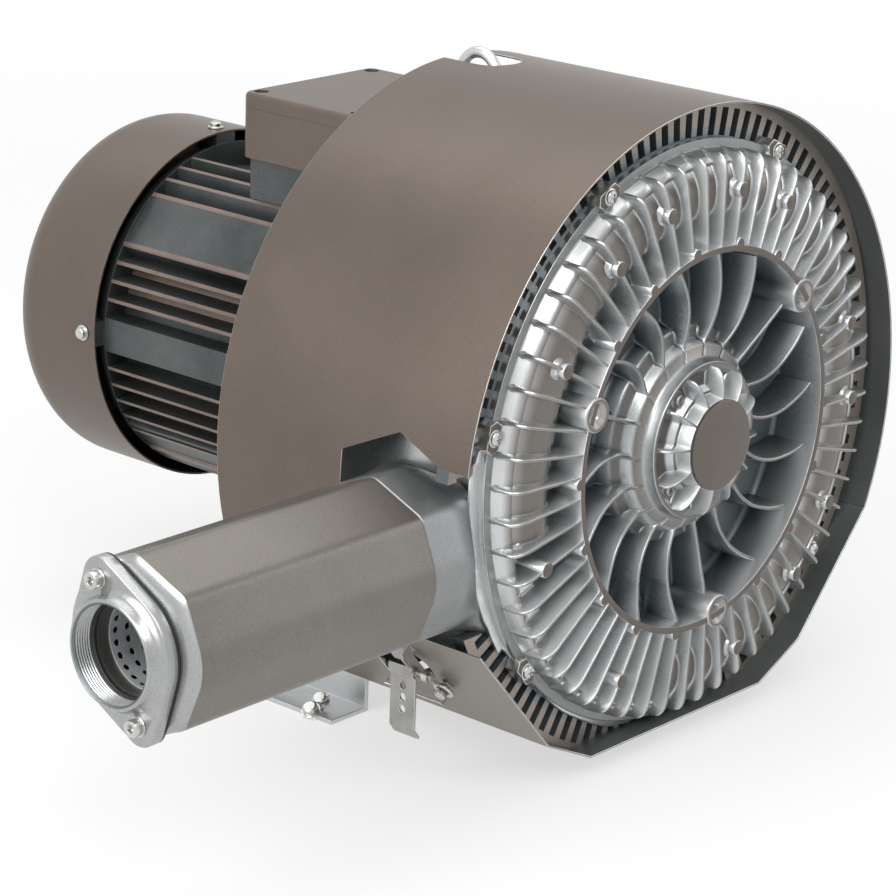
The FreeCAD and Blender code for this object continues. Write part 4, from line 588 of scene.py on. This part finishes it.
def ribSection(across, ground, crown, top, foot, flare):
    # one cut through a rib: flared foot, slim sides, round crown; ground and crown are points
    rise = crown - ground
    height = rise.length * 1000
    way = rise.normalized()
    half = [(flare, -2.0), (flare * 0.86, 0.0), (foot * 1.18, 0.7), (foot, min(2.4, height * 0.5)),
            (top, height - top * 0.75), (top * 0.72, height - top * 0.22), (0.0, height)]
    ring = [ground + (across * a + way * h) / 1000 for a, h in half]
    ring += [ground + (-across * a + way * h) / 1000 for a, h in reversed(half[:-1])]
    return ring


def ribAlong(bm, pairs, s, topWidth=None):
    # pairs: crown and ground as (station, radius, angle)
    rings = []
    points = [(onShaft(*crown), onShaft(*ground)) for crown, ground in pairs]
    for k, (crown, ground) in enumerate(points):
        before = points[max(k - 1, 0)][1]
        after = points[min(k + 1, len(points) - 1)][1]
        height = (crown - ground).length * 1000
        across = (after - before).cross(crown - ground).normalized()
        foot = min(s["ribFoot"], 1.2 + height * 0.12)
        flare = min(s["ribFlare"], 1.6 + height * 0.22)
        top = min(topWidth or s["ribTop"], max(height * 0.5, 0.4))
        rings.append(ribSection(across, ground, crown, top, max(foot, top), max(flare, top)))
    loft(bm, rings)


def layered(piece):
    # marks on each corner how far it faces the front, for a painted brown reflection, and how deep it
    # lies, for painted shade
    data = piece.data
    facing = data.attributes.new("facing", "FLOAT", "CORNER")
    depth = data.attributes.new("depth", "FLOAT", "CORNER")
    for k, loop in enumerate(data.loops):
        along, radius = stationRadius(data.vertices[loop.vertex_index].co)
        front = -data.corner_normals[k].vector.y
        facing.data[k].value = max(0.0, min(1.0, (front - 0.56) / 0.36))
        if radius < 66:
            deep = along / 40
        elif radius < 152:
            deep = (along - 12) / 30
        elif radius <= 214:
            deep = (along - 14) / 38
        else:
            deep = 0.0
        depth.data[k].value = max(0.0, min(1.0, deep))
    return piece


def castPiece(bm, name, smooth):
    return layered(finishPiece(bm, name, ["castSilver"], smooth))


def coverShell(s):
    bm = bmesh.new()
    back = [(34, 238.3), (34, 230), (45.4, 230), (45.4, 21), (-3, 21)]
    hub = [(-10.4, 26.5), (-10.5, 37.2, 0.8), (1.6, 39.6, 1.2), (2.6, 42, 1.2), (8.6, 45.5, 3), (9, 56, 4),
           (4.6, 61.0, 0.8), (3.9, 61.8, 0.6), (4.0, 64.4, 1.4)]
    front = rounded([(-10.4, 21)] + hub + [(12.8, 65.6)], closed=False)
    front += dishLine[1:-1]
    front += rounded([(44, 140), (44, 151.4, 5, 5), (0.2, 153.2, 0.9, 3), (0, 158.4, 0.9, 3),
                      (31, 160.3, 3, 4), (31.5, 166)], closed=False)[1:]
    front += floorLine[2:-1]
    front += rounded([(21, 227.4), (28.6, 231.4, 1.5, 3), (28.4, 239, 1.0, 3), (34, 239)],
                     closed=False)[1:-1]
    spinRound(bm, front + back, s["steps"])
    skins = ["castSilver", "paintedShadeSkin", "capPaintedReflection", "flangeReflectionSkin", "valleyPaintedShade"]
    shell = finishPiece(bm, "coverShell", skins, 50)
    # painted shade on the dish and channel floors, painted reflection on the ring and flange faces
    for face in shell.data.polygons:
        along, radius = stationRadius(face.center)
        for index, (inner, outer, near, far) in enumerate(s["skins"], start=1):
            if inner < radius < outer and near < along < far:
                face.material_index = index
    return layered(shell)


# the collar's (angle, radius)
rimLine = [(168, 238.5), (172, 243), (176, 247.5), (204, 248.4), (210, 245), (215, 240), (219, 236.5),
           (227, 235), (232, 239), (240, 241.5), (256, 245.5), (260, 243.5), (266, 238.5)]


def coverRim():
    # the collar behind the cover widens on the inlet side
    bm = bmesh.new()
    rings = []
    first, last = rimLine[0][0], rimLine[-1][0]
    for k in range(50):
        angle = first + (last - first) * k / 49
        outer = rimLine[-1][1]
        for (a, ra), (b, rb) in zip(rimLine, rimLine[1:]):
            if a <= angle <= b:
                share = (angle - a) / (b - a)
                share = share * share * (3 - 2 * share)
                outer = ra + (rb - ra) * share
        rings.append([onShaft(along, radius, angle) for along, radius in (
            (37, 232), (34.1, 232), (34.1, outer - 1.2), (34.5, outer - 0.4), (35.3, outer), (37, outer))])
    loft(bm, rings)
    return finishPiece(bm, "coverRim", ["castSilver"], 40)


def coverBulge(s):
    low, high = s["stripper"]
    bm = bmesh.new()
    spinRound(bm, bulgeLine + [(33, 231.6), (33, 171.5)], 132, start=high, sweep=360 - (high - low))
    return castPiece(bm, "coverBulge", 50)


# outer ends of the ribs as (station, radius): their crown, and its ground on the bulge and where
# the channel is deep
endCrown = [(2.2, 212), (2.3, 218), (3.2, 223), (5.0, 226.8), (7.6, 229.6), (11, 231.4), (16, 232),
            (21, 232.2), (25, 232.3), (28.4, 232.4)]
endGround = [(12.2, 211.8), (14.8, 217), (17.4, 220.6), (20, 223.9), (22.2, 226.4), (24, 228.2),
             (25.6, 229.7), (27, 230.6), (28, 231.2), (29, 231.6)]
endDeep = [(29, 208), (28, 213.5), (24, 218), (18.5, 221.6), (17.4, 223.8), (18.6, 226), (21, 227.6),
           (24, 229), (27, 230.4), (29, 231.4)]


def coverRibs(s):
    bm = bmesh.new()
    pitch = 360 / s["ribs"]
    low, high = s["deep"]
    for index in range(s["ribs"]):
        angle = (s["firstRib"] + index * pitch) % 360
        deep = low <= index <= high
        line = floorLine if deep else bulgeLine
        pairs = []
        for radius in (157.5, 161, 166, 171.2, 174, 178, 182, 186, 190, 195, 201, 206.5):
            if radius < 171.5:
                ground = alongLine([(31, 157), (31.5, 166), (26.5, 171.5)], radius)
            else:
                ground = alongLine(line, radius)
            pairs.append(((0.9 + (radius - 158) * 0.024, radius, angle), (ground, radius, angle)))
        for crown, ground in zip(endCrown, endDeep if deep else endGround):
            pairs.append((crown + (angle,), ground + (angle,)))
        ribAlong(bm, pairs, s)
    return castPiece(bm, "coverRibs", 60)


# a curved rib's (radius, turn against its outer end)
spiralLine = [(67, -0.8), (72, -3), (80, -5.6), (90, -7.6), (100, -8.3), (110, -7.9), (120, -6.8),
              (130, -5), (140, -3), (147, -1.4), (152.6, 0)]


def coverSpirals(s):
    bm = bmesh.new()
    path = curveOf(spiralLine, 3)
    for base in range(0, 360, 360 // s["spirals"]):
        pairs = []
        for radius, bow in path:
            # the ribs to the bosses are straight
            angle = base if base in s["bosses"] else base + s["spiralTurn"] + bow
            ground = alongLine(dishLine, radius)
            crown = min(10 + (152 - radius) * 0.108, ground - 0.6)
            pairs.append(((crown, radius, angle), (ground, radius, angle)))
        ribAlong(bm, pairs, s, s["spiralTop"])
    return castPiece(bm, "coverSpirals", 60)


def bevelEdges(bm, edges, offset):
    bmesh.ops.bevel(bm, geom=edges, offset=offset / 1000, segments=2, profile=0.5, affect="EDGES",
                    material=-1, clamp_overlap=True)


def block(bm, angle, inner, outer, front, back, width, chamfer):
    # a box standing on the cover: radii, stations and a width along the rim
    made = bmesh.ops.create_cube(bm, size=1)["verts"]
    radial, side = outAndRound(angle)
    for vert in made:
        x, y, z = vert.co
        radius = (inner + outer) / 2 + x * (outer - inner)
        along = (front + back) / 2 + y * (back - front)
        vert.co = shaftLine + radial * radius / 1000 + side * z * width / 1000
        vert.co.y = station(along)
    bevelEdges(bm, list({edge for vert in made for edge in vert.link_edges}), chamfer)


def coverSteps(s):
    # small steps in the valley beside the beads, and wedges on the flank of the stripper
    bm = bmesh.new()
    for angle in range(0, 360, 360 // s["spirals"]):
        if angle not in s["bosses"]:
            block(bm, angle, 157, 176, 19.5, 33, 8.5, 1.2)
    pitch = 360 / s["ribs"]
    low, high = s["deep"]
    for index in range(low, high):
        angle = s["firstRib"] + (index + 0.5) * pitch
        flank = 203 + 19 * max(0, min(1, (angle - 203) / 40))
        if flank < 218:
            block(bm, angle, flank, 222.5, 20.5, 32, 2 * math.pi * 214 / s["ribs"] - 1, 1.6)
            block(bm, angle - 1.1, flank + 5.5, 224, 15.8, 30, 12.5, 1.2)
        else:
            block(bm, angle - 1.1, flank - 3, 224, 17.5, 30, 11.5, 1.4)
    # a small dome where the bulge stops
    dome = Matrix.Translation(onShaft(*s["domeAt"]))
    bmesh.ops.create_uvsphere(bm, u_segments=14, v_segments=8, radius=0.0042, matrix=dome)
    return castPiece(bm, "coverSteps", 50)


# crown of the small ribs on the hub, as (radius, station)
petalLine = [(61.8, 4.2), (61.6, 1.4), (60.4, -2.2), (58, -5), (54.5, -7.5), (49.5, -9.2),
             (43.5, -10.3), (36.9, -11)]


def coverPetals(s):
    bm = bmesh.new()
    for index in range(s["petals"]):
        angle = 360 / s["petals"] * index + s["petalTurn"]
        pairs = []
        for radius, top in curveOf(petalLine, 2):
            pairs.append(((top, radius, angle), (max(9.2, top + 1.5), radius, angle)))
        ribAlong(bm, pairs, s, s["petalTop"])
    # four pads with socket screws between them
    for angle in s["capScrews"]:
        centre = onShaft(10, 51.6, angle)
        spinAbout(bm, centre, toFront, [(0, 0.2), (7.4, 0.2), (7.0, 2.2), (6.4, 2.8), (0, 2.8)])
        socketScrew(bm, centre + toFront * 0.0028, toFront, 4.7, 3.4, 2.3)
    return castPiece(bm, "coverPetals", 60)


def coverBosses(s):
    # three threaded bosses, and slim posts at the outer ends of the curved ribs
    bm = bmesh.new()
    thread = []
    height = -2.8
    for turn in range(9):
        thread += [(5.9, height), (5.15, height - 0.85)]
        height -= 1.75
    mouth = [(13.9, -43), (14.2, -0.8), (13.5, 0.7), (12.6, 1.2), (10.9, 1.2), (9.7, 0.4), (7.6, -1.6),
             (6.4, -2.4)]
    for angle in s["bosses"]:
        spinAbout(bm, onShaft(0, s["bossRadius"], angle), toFront, mouth + thread + [(0.01, height)], 40)
    post = [(0, -1), (7.5, -1), (6.2, 1.2), (5.3, 4), (4.9, 30.2), (4.4, 30.8), (0, 30.8)]
    for angle in range(0, 360, 360 // s["spirals"]):
        if angle not in s["bosses"]:
            spinAbout(bm, onShaft(31, s["postRadius"], angle), toFront, post, 20)
    return capTops(bm, "coverBosses")


def coverPads(s):
    # round pads that stand in the channel, higher where its floor is deep
    bm = bmesh.new()
    low, high = s["deep"]
    for index in s["pads"]:
        angle = s["firstRib"] + index * 360 / s["ribs"]
        ground = s["channelFloors"][low <= index <= high]
        tall = ground - 1.1
        spinAbout(bm, onShaft(ground, s["padRadius"], angle), toFront,
                  [(9.6, -1.2), (7.9, 0.5), (6.9, 1.6), (6.5, min(3.2, tall * 0.7)), (6.2, tall - 0.5),
                   (5.7, tall), (0, tall)])
    return capTops(bm, "coverPads")


def capTops(bm, name):
    # painted reflection: the flat turned tops take the dim brown
    piece = finishPiece(bm, name, ["castSilver", "capPaintedReflection"], 50)
    paintFaces(piece, 1, lambda face: face.normal.y < -0.98 and 0 < stationRadius(face.center)[0] < 2)
    return layered(piece)


shell = coverShell(cover)
castings = [coverBosses(cover), coverPads(cover), coverBulge(cover), coverRim(), coverRibs(cover),
            coverSteps(cover), coverSpirals(cover), coverPetals(cover)]
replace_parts(shell, "front_cover")
print("cover made")


# clamps that hold the cover: six sided blocks with round cross headed screws
clamp = {
    "outer": 246.3, "inner": 232.6, "middle": 239.2, "flat": 9.4, "corner": 13.4, "front": 24.0,
    "back": 36.7, "headRadius": 5.7, "headHeight": 3.2, "crossArm": 3.3, "crossHalf": 0.62,
}


def panScrew(bm, centre, axis, s):
    # round head with a cross recess
    radius, height, half = s["headRadius"], s["headHeight"], s["crossHalf"]
    arm = [(s["crossArm"], -half), (s["crossArm"], half), (half, half)]
    cross = [turned(x, y, angle) for angle in (0, 90, 180, 270) for x, y in arm]
    rows = [(radius, 0.0), (radius, height * 0.3)]
    for share in (0.97, 0.88, 0.76):
        rows.append((radius * share, height * (0.3 + 0.7 * math.sqrt(1 - share ** 2))))
    rows += [(radius * 0.66, height * 0.93), (cross, height), (cross, height - 1.7, -0.15),
             (0.3, height - 1.9)]
    standRings(bm, ringsOf(rows, 48, sides=48), centre, axis)


def clampBlock(number, angle, s):
    bm = bmesh.new()
    radial, side = outAndRound(angle)
    outline = [(s["inner"], -s["flat"]), (s["inner"], s["flat"]), (s["middle"], s["corner"]),
               (s["outer"], s["flat"]), (s["outer"], -s["flat"]), (s["middle"], -s["corner"])]
    rings = []
    for along in (s["front"], s["back"]):
        foot = shaftLine + Vector((0, station(along), 0))
        rings.append([foot + radial * radius / 1000 + side * across / 1000 for radius, across in outline])
    loft(bm, rings)
    bevelEdges(bm, list(bm.edges), 0.7)
    piece = finishPiece(bm, "clampBlock_%d" % number, ["castSilver", "capPaintedReflection"], 35)
    # painted reflection: the front faces of the block take the dim brown
    paintFaces(piece, 1, lambda face: face.normal.y < -0.97)
    # a washer and its screw
    bm = bmesh.new()
    centre = onShaft(s["front"], s["middle"], angle)
    spinAbout(bm, centre, toFront, [(0, 0.1), (7.0, 0.1), (7.0, 0.7), (6.6, 1.0), (0, 1.0)], 32)
    panScrew(bm, centre + toFront * 0.001, toFront, s)
    screw = finishPiece(bm, "clampScrew_%d" % number, ["zincPlate"], 40)
    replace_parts(piece, "clamp_%d" % number)
    return screw


for number, angle in enumerate(cover["clamps"], start=1):
    clampBlock(number, angle, clamp)
print("clamps made")


# cap over the front bearing
def hubCap():
    bm = bmesh.new()
    profile = [(26, 4.5), (26, 10.6), (36.9, 10.7), (36.9, 12.9), (36.3, 13.5), (35.6, 13.7), (0, 13.75)]
    spinAbout(bm, onShaft(0, 0, 0), toFront, profile, 72)
    # painted reflection: the cap is laid in the dim brown
    piece = finishPiece(bm, "hubCapDressed", ["capPaintedReflection"], 30)
    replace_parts(piece, "hub_cap")


hubCap()


# silencers with their port flanges: millimetres in a frame with z towards the port
portFrames = {
    "inlet": Matrix(((0, 0, -1, -305), (0, 1, 0, station(80) * 1000), (1, 0, 0, 213.7), (0, 0, 0, 1))),
    "outlet": Matrix(((1, 0, 0, 190), (0, 0, 1, station(284.9) * 1000), (0, -1, 0, 132), (0, 0, 0, 1))),
}
silencer = {
    "flats": 128.0, "round": 11.0, "frontRound": 46.0, "length": 244.0, "tilt": 22.5,
    "lobeReach": 53.0, "lobeRadius": 16.0, "middleRadius": 49.5, "points": 144, "flangeAt": 246.2,
    "thread": 2.31, "tubeRadius": 33.4, "tubeLength": 226.0, "tubeCells": (22, 20),
    "holeRadius": 2.6,
}


def octagon(s, shrink=0.0):
    half = s["flats"] / 2 - shrink
    corner = half / math.cos(math.radians(22.5))
    points = []
    for k in range(8):
        turn = math.radians(45 * k)
        bend = s["frontRound"] if k in (2, 6) else s["round"]
        points.append((corner * math.cos(turn), corner * math.sin(turn), max(bend - shrink, 2), 7))
    return rounded(points)


def lobed(s, grow=0.0):
    # a round plate with two smaller round ears
    big = s["middleRadius"] + grow
    small = s["lobeRadius"] + grow
    lean = math.acos((big - small) / s["lobeReach"])
    arcs = ((s["lobeReach"], small, -lean, lean), (0, big, lean, math.pi - lean),
            (-s["lobeReach"], small, math.pi - lean, math.pi + lean),
            (0, big, math.pi + lean, 2 * math.pi - lean))
    points = []
    for centre, radius, start, stop in arcs:
        for k in range(17):
            turn = start + (stop - start) * k / 16
            points.append((centre + radius * math.cos(turn), radius * math.sin(turn)))
    return [turned(x, y, s["tilt"]) for x, y in points]


def placeLocal(bm, side):
    down = Matrix.Diagonal((0.001, 0.001, 0.001, 1))
    up = Matrix.Diagonal((1000, 1000, 1000, 1))
    bmesh.ops.transform(bm, matrix=down @ portFrames[side] @ up, verts=bm.verts)


def portAxis(side):
    # foot of a port's axis, in metres, and its direction
    return portFrames[side].translation / 1000, portFrames[side].to_3x3() @ Vector((0, 0, 1))


def silencerBody(side, s):
    count = s["points"]
    end = s["length"]
    outer = octagon(s)
    rows = [(octagon(s, 1.2), 0.0), (outer, 1.0), (outer, 60), (outer, 120), (outer, 180)]
    rings = ringsOf(rows, count)
    # the end draws in from eight sides to the lobed seat
    octRing = polarRing(outer, count, 0)
    seatRing = polarRing(lobed(s, -0.4), count, 0)
    for share, drop in ((0.0, 4.6), (0.05, 3.7), (0.3, 1.9), (0.7, 0.7), (1.0, 0)):
        ring = []
        for a, b in zip(octRing, seatRing):
            point = a.lerp(b if b.length < a.length else a, share)
            ring.append(Vector((point.x, point.y, end - drop)))
        rings.append(ring)
    # inside: a bore for the port, then the wall
    inside = octagon(s, 7)
    rings += ringsOf([(34.2, end), (34.2, end - 14), (inside, end - 14), (inside, 0.0)], count)
    bm = bmesh.new()
    bridgeRings(bm, rings)
    placeLocal(bm, side)
    piece = finishPiece(bm, "silencerBody_" + side, ["silencerPaint", "portSkin"], 32)
    origin, way = portAxis(side)
    paintFaces(piece, 1, lambda face: (face.center - origin).dot(way) * 1000 > end - 4.5)
    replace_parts(piece, "silencer_" + side)


def portFlange(side, s):
    count = s["points"]
    z = s["flangeAt"]
    plate = lobed(s)
    plateRing = polarRing(plate, count, 0)

    def within(radius, lift, inset):
        ring = []
        for point in plateRing:
            length = min(radius, point.length - inset)
            ring.append(Vector((point.x, point.y, 0)) * (length / point.length) + Vector((0, 0, lift)))
        return ring

    rows = [(plate, 0.1, -0.5), (plate, 0.7), (plate, 8.4), (plate, 9.4, -0.5), (plate, 9.9, -1.5)]
    rings = ringsOf(rows, count, z)
    # the neck rises out of the plate
    for radius, lift, inset in ((50.5, 10.0, 2.2), (46.5, 10.5, 3.0), (43.8, 11.9, 4.2), (42.0, 14.0, 5.4),
                                (41.0, 16.6, 6.6)):
        rings.append(within(radius, z + lift, inset))
    rows = [(40.3, 18.2), (39.9, 18.9), (39.1, 19.35), (38.3, 19.4), (37.9, 19.2)]
    # turns of the thread, and the bore below them
    lift = 18.4
    while lift > 3.4:
        rows += [(36.15, lift - 0.5), (36.25, lift - 0.9), (36.75, lift - 1.25),
                 (37.45, lift - s["thread"] / 2 - 0.6)]
        lift -= s["thread"]
    rows += [(36.4, 2.2), (36.4, 0.1)]
    rings += ringsOf(rows, count, z)
    bm = bmesh.new()
    bridgeRings(bm, rings)
    placeLocal(bm, side)
    piece = finishPiece(bm, side + "FlangeCast", ["portSkin", "paintedShadeSkin"], 34)
    origin, way = portAxis(side)

    def isRoot(face):
        # painted shade: the thread's roots are laid dark
        out = face.center - origin
        lift = out.dot(way)
        return 36.8 < (out - way * lift).length * 1000 < 37.4 and lift * 1000 > z + 2.3

    paintFaces(piece, 1, isRoot)
    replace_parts(piece, side + "_flange")


def portGasket(side, s):
    # gasket and the round seal behind the thread
    under = lobed(s, -0.5)
    rows = [(under, 0.1, -0.3), (under, 0.5, 0.3), (under, 1.7, 0.3), (under, 2.1, -0.3), (34.9, 2.1),
            (34.9, 0.1)]
    bm = bmesh.new()
    bridgeRings(bm, ringsOf(rows, s["points"], s["length"]))
    spinAbout(bm, (0, 0, (s["flangeAt"] + 0.6) / 1000), (0, 0, 1),
              [(35.9 + across, up) for across, up in disc(1.5, 12)], 72, closed=True)
    placeLocal(bm, side)
    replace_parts(finishPiece(bm, side + "GasketSoft", ["blackRubber"], 40), side + "_gasket")


def portScrews(side, s):
    for number, way in enumerate((-1, 1), start=1):
        bm = bmesh.new()
        across, up = turned(way * s["lobeReach"], 0, s["tilt"])
        centre = Vector((across, up, s["flangeAt"] + 10.2)) / 1000
        spinAbout(bm, centre, (0, 0, 1), [(4.4, 0), (7.6, 0.0), (7.6, 0.9), (7.2, 1.2), (4.4, 1.2)], 32)
        socketScrew(bm, centre + Vector((0, 0, 0.0012)), (0, 0, 1), 6.5, 7.0, 3.4, 10)
        placeLocal(bm, side)
        piece = finishPiece(bm, "%sPortScrew%d" % (side, number), ["zincPlate"], 34)
        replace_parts(piece, "%s_screw_%d" % (side, number))


def perforatedTube(side, s):
    # a flat strip of cells with round holes, rolled up
    bm = bmesh.new()
    around, along = s["tubeCells"]
    rolled = s["tubeRadius"]
    wide = 2 * math.pi * rolled / around
    tall = s["tubeLength"] / along
    sides = 12
    for row in range(along):
        for column in range(around):
            middle = Vector(((column + 0.5) * wide, 8 + (row + 0.5) * tall, 0))
            inner = []
            outer = []
            for k in range(sides):
                turn = 2 * math.pi * (k + 0.5) / sides
                way = Vector((math.cos(turn), math.sin(turn), 0))
                inner.append(bm.verts.new(middle + way * s["holeRadius"]))
                far = min(wide / 2 / max(abs(way.x), 1e-6), tall / 2 / max(abs(way.y), 1e-6))
                outer.append(bm.verts.new(middle + way * far))
            for k in range(sides):
                n = (k + 1) % sides
                bm.faces.new((inner[k], outer[k], outer[n], inner[n]))
            for corner in ((1, 1), (-1, 1), (-1, -1), (1, -1)):
                spot = middle + Vector((corner[0] * wide / 2, corner[1] * tall / 2, 0))
                near = sorted(outer, key=lambda vert: (vert.co - spot).length)[:2]
                if min((vert.co - spot).length for vert in near) > 0.01:
                    bm.faces.new((near[0], bm.verts.new(spot), near[1]))
    bmesh.ops.remove_doubles(bm, verts=bm.verts, dist=0.02)
    for vert in bm.verts:
        turn = vert.co.x / rolled
        vert.co = Vector((math.cos(turn) * rolled, math.sin(turn) * rolled, vert.co.y)) / 1000
    bmesh.ops.remove_doubles(bm, verts=bm.verts, dist=0.00002)
    placeLocal(bm, side)
    piece = finishPiece(bm, side + "TubePierced", ["tubeSheet"], 40)
    wall = piece.modifiers.new("wall", "SOLIDIFY")
    wall.thickness = 0.0012
    wall.offset = 0
    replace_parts(piece, side + "_tube")


for side in ("inlet", "outlet"):
    silencerBody(side, silencer)
    portFlange(side, silencer)
    portGasket(side, silencer)
    portScrews(side, silencer)
    perforatedTube(side, silencer)
print("silencers and ports made")


# cast elbow between the casing and the left silencer: its foot lies round the casing, x up,
# y along the shaft and z away from it, with the shaft so far below and behind the port's joint
elbowSettings = {
    "points": 96,
    "foot": [(-74, -42.6, 12), (58, -42.6, 18), (58, 56, 20), (-74, 56, 20)],
    "casing": 242.0,
    "shaftAt": (48.3, -305),
    "shares": (0.0, 0.18, 0.36, 0.54, 0.70, 0.84, 0.94, 1.0),
    "bend": 1.9,
}


def elbow(s, end):
    count = s["points"]
    outline = octagon(end)
    rings = ringsOf([(octagon(end, 1.0), -0.15), (outline, -1.0), (outline, -26)], count)
    start = polarRing(outline, count, -30)
    target = []
    for point in polarRing(rounded(s["foot"]), count, 0):
        up = point.x - s["shaftAt"][0]
        reach = math.sqrt(max(s["casing"] ** 2 - up ** 2, 0))
        target.append(Vector((point.x, point.y, reach + s["shaftAt"][1])))
    for share in s["shares"]:
        across = share ** s["bend"]
        ring = []
        for a, b in zip(start, target):
            ring.append(Vector((a.x + (b.x - a.x) * across, a.y + (b.y - a.y) * across,
                                a.z + (b.z - a.z) * share)))
        rings.append(ring)
    bm = bmesh.new()
    bridgeRings(bm, rings, joined=False)
    placeLocal(bm, "inlet")
    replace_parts(finishPiece(bm, "elbowCast", ["flangeReflectionSkin"], 30), "inlet_elbow")


elbow(elbowSettings, silencer)
print("elbow made")


# bent sheets, castings and small parts that keep the solids' own shapes: finish, width of the
# rounded edges, and perhaps the finish of those edges
dressed = {
    "shroud": ("taupePaint", 0.35, "sheetEdge"),
    "shroud_lower": ("lowerPaint", 0.35, "sheetEdge"),
    "vent_ring": ("ventReflectionSkin", 0.4),
    "middle_casing": ("castSilver", 0.8),
    "rear_casing": ("castSilver", 0.8),
    "outlet_adapter": ("castSilver", 1.2),
    "motor_flange": ("castSilver", 1.0),
    "motor_frame": ("motorPaint", 0.5),
    "end_shield": ("motorPaint", 0.6),
    "fan_cowl": ("taupePaint", 0.5, "sheetEdge"),
    "terminal_box": ("taupePaint", 1.6),
    "terminal_lid": ("taupePaint", 2.0),
    "base_plate": ("castSilver", 1.6),
    "eye_bolt": ("castSilver", 0.4),
    "latch_catch": ("zincPlate", 0.3, "sheetEdge"),
    "latch_stud": ("zincPlate", 0.3),
    "latch_pin": ("zincPlate", 0.2),
    "latch_wire": ("zincPlate", 0.0),
    "latch_lever": ("leverZinc", 0.3, "sheetEdge"),
    "latch_bail": ("zincPlate", 0.0),
}
for place, count, width in (("base", 2, 0.35), ("cowl", 4, 0.3), ("lid", 4, 0.3)):
    for number in range(1, count + 1):
        dressed["%s_screw_%d" % (place, number)] = ("zincPlate", width)
bodyOf = {"latch_lever": "lever", "latch_bail": "bail"}


def outwards(place):
    return Vector((place.x, 0, place.z - shaftHeight)).normalized()


def isTip(data, face):
    # long narrow faces that look away from the shaft
    corners = [data.vertices[k].co for k in face.vertices]
    spans = sorted(max(c[axis] for c in corners) - min(c[axis] for c in corners) for axis in range(3))
    return spans[2] > 0.05 and spans[1] < 0.0045 and face.normal.dot(outwards(face.center)) > 0.4


def addSkin(piece, name, test):
    piece.data.materials.append(finish[name])
    paintFaces(piece, len(piece.data.materials) - 1, test)


def dressAll():
    for node, (skin, width, *edge) in dressed.items():
        piece = dress(node, [skin, *edge], bodyOf.get(node, "housing"), width)
        if edge:
            piece.modifiers["roundEdges"].material = 1
        if node in ("shroud", "shroud_lower"):
            # painted shade on the inner side of the sheets
            addSkin(piece, "sheetInsideShade", lambda face: face.normal.dot(outwards(face.center)) < -0.25)
        elif node == "vent_ring":
            # painted shade on the walls of the ring's slots
            addSkin(piece, "paintedShadeSkin", lambda face: face.normal.y > -0.9)
        elif node == "motor_frame":
            addSkin(piece, "finTip", lambda face: isTip(piece.data, face))


dressAll()


# painted shade: a thin dark disc inside the cowl's slotted end
shadeDisc = {"station": 655.2, "radius": 117, "thickness": 0.5}


def cowlShadeDisc(s):
    profile = [(0, 0), (s["radius"], 0), (s["radius"], s["thickness"]), (0, s["thickness"])]
    bm = bmesh.new()
    spinAbout(bm, onShaft(s["station"], 0, 0), toFront, profile, 72)
    return finishPiece(bm, "cowlShadeDisc", ["fanPlastic"], 40)


cowlShadeDisc(shadeDisc)
print("sheets and castings made")

# inner solids, which are shown as they are
kept = {
    "groundSteel": ("bearing_front", "bearing_drive", "bearing_rear", "shaft"),
    "coreIron": ("stator_core", "rotor_core"),
    "windingCopper": ("stator_winding",),
    "castSilver": ("impeller_front", "impeller_rear"),
    "fanPlastic": ("cooling_fan",),
}
for skin, names in kept.items():
    for name in names:
        solid = nodes[name]
        if not solid.material_slots:
            solid.data.materials.append(finish[skin])
        for slot in solid.material_slots:
            slot.material = finish[skin]
print("inner solids coloured")
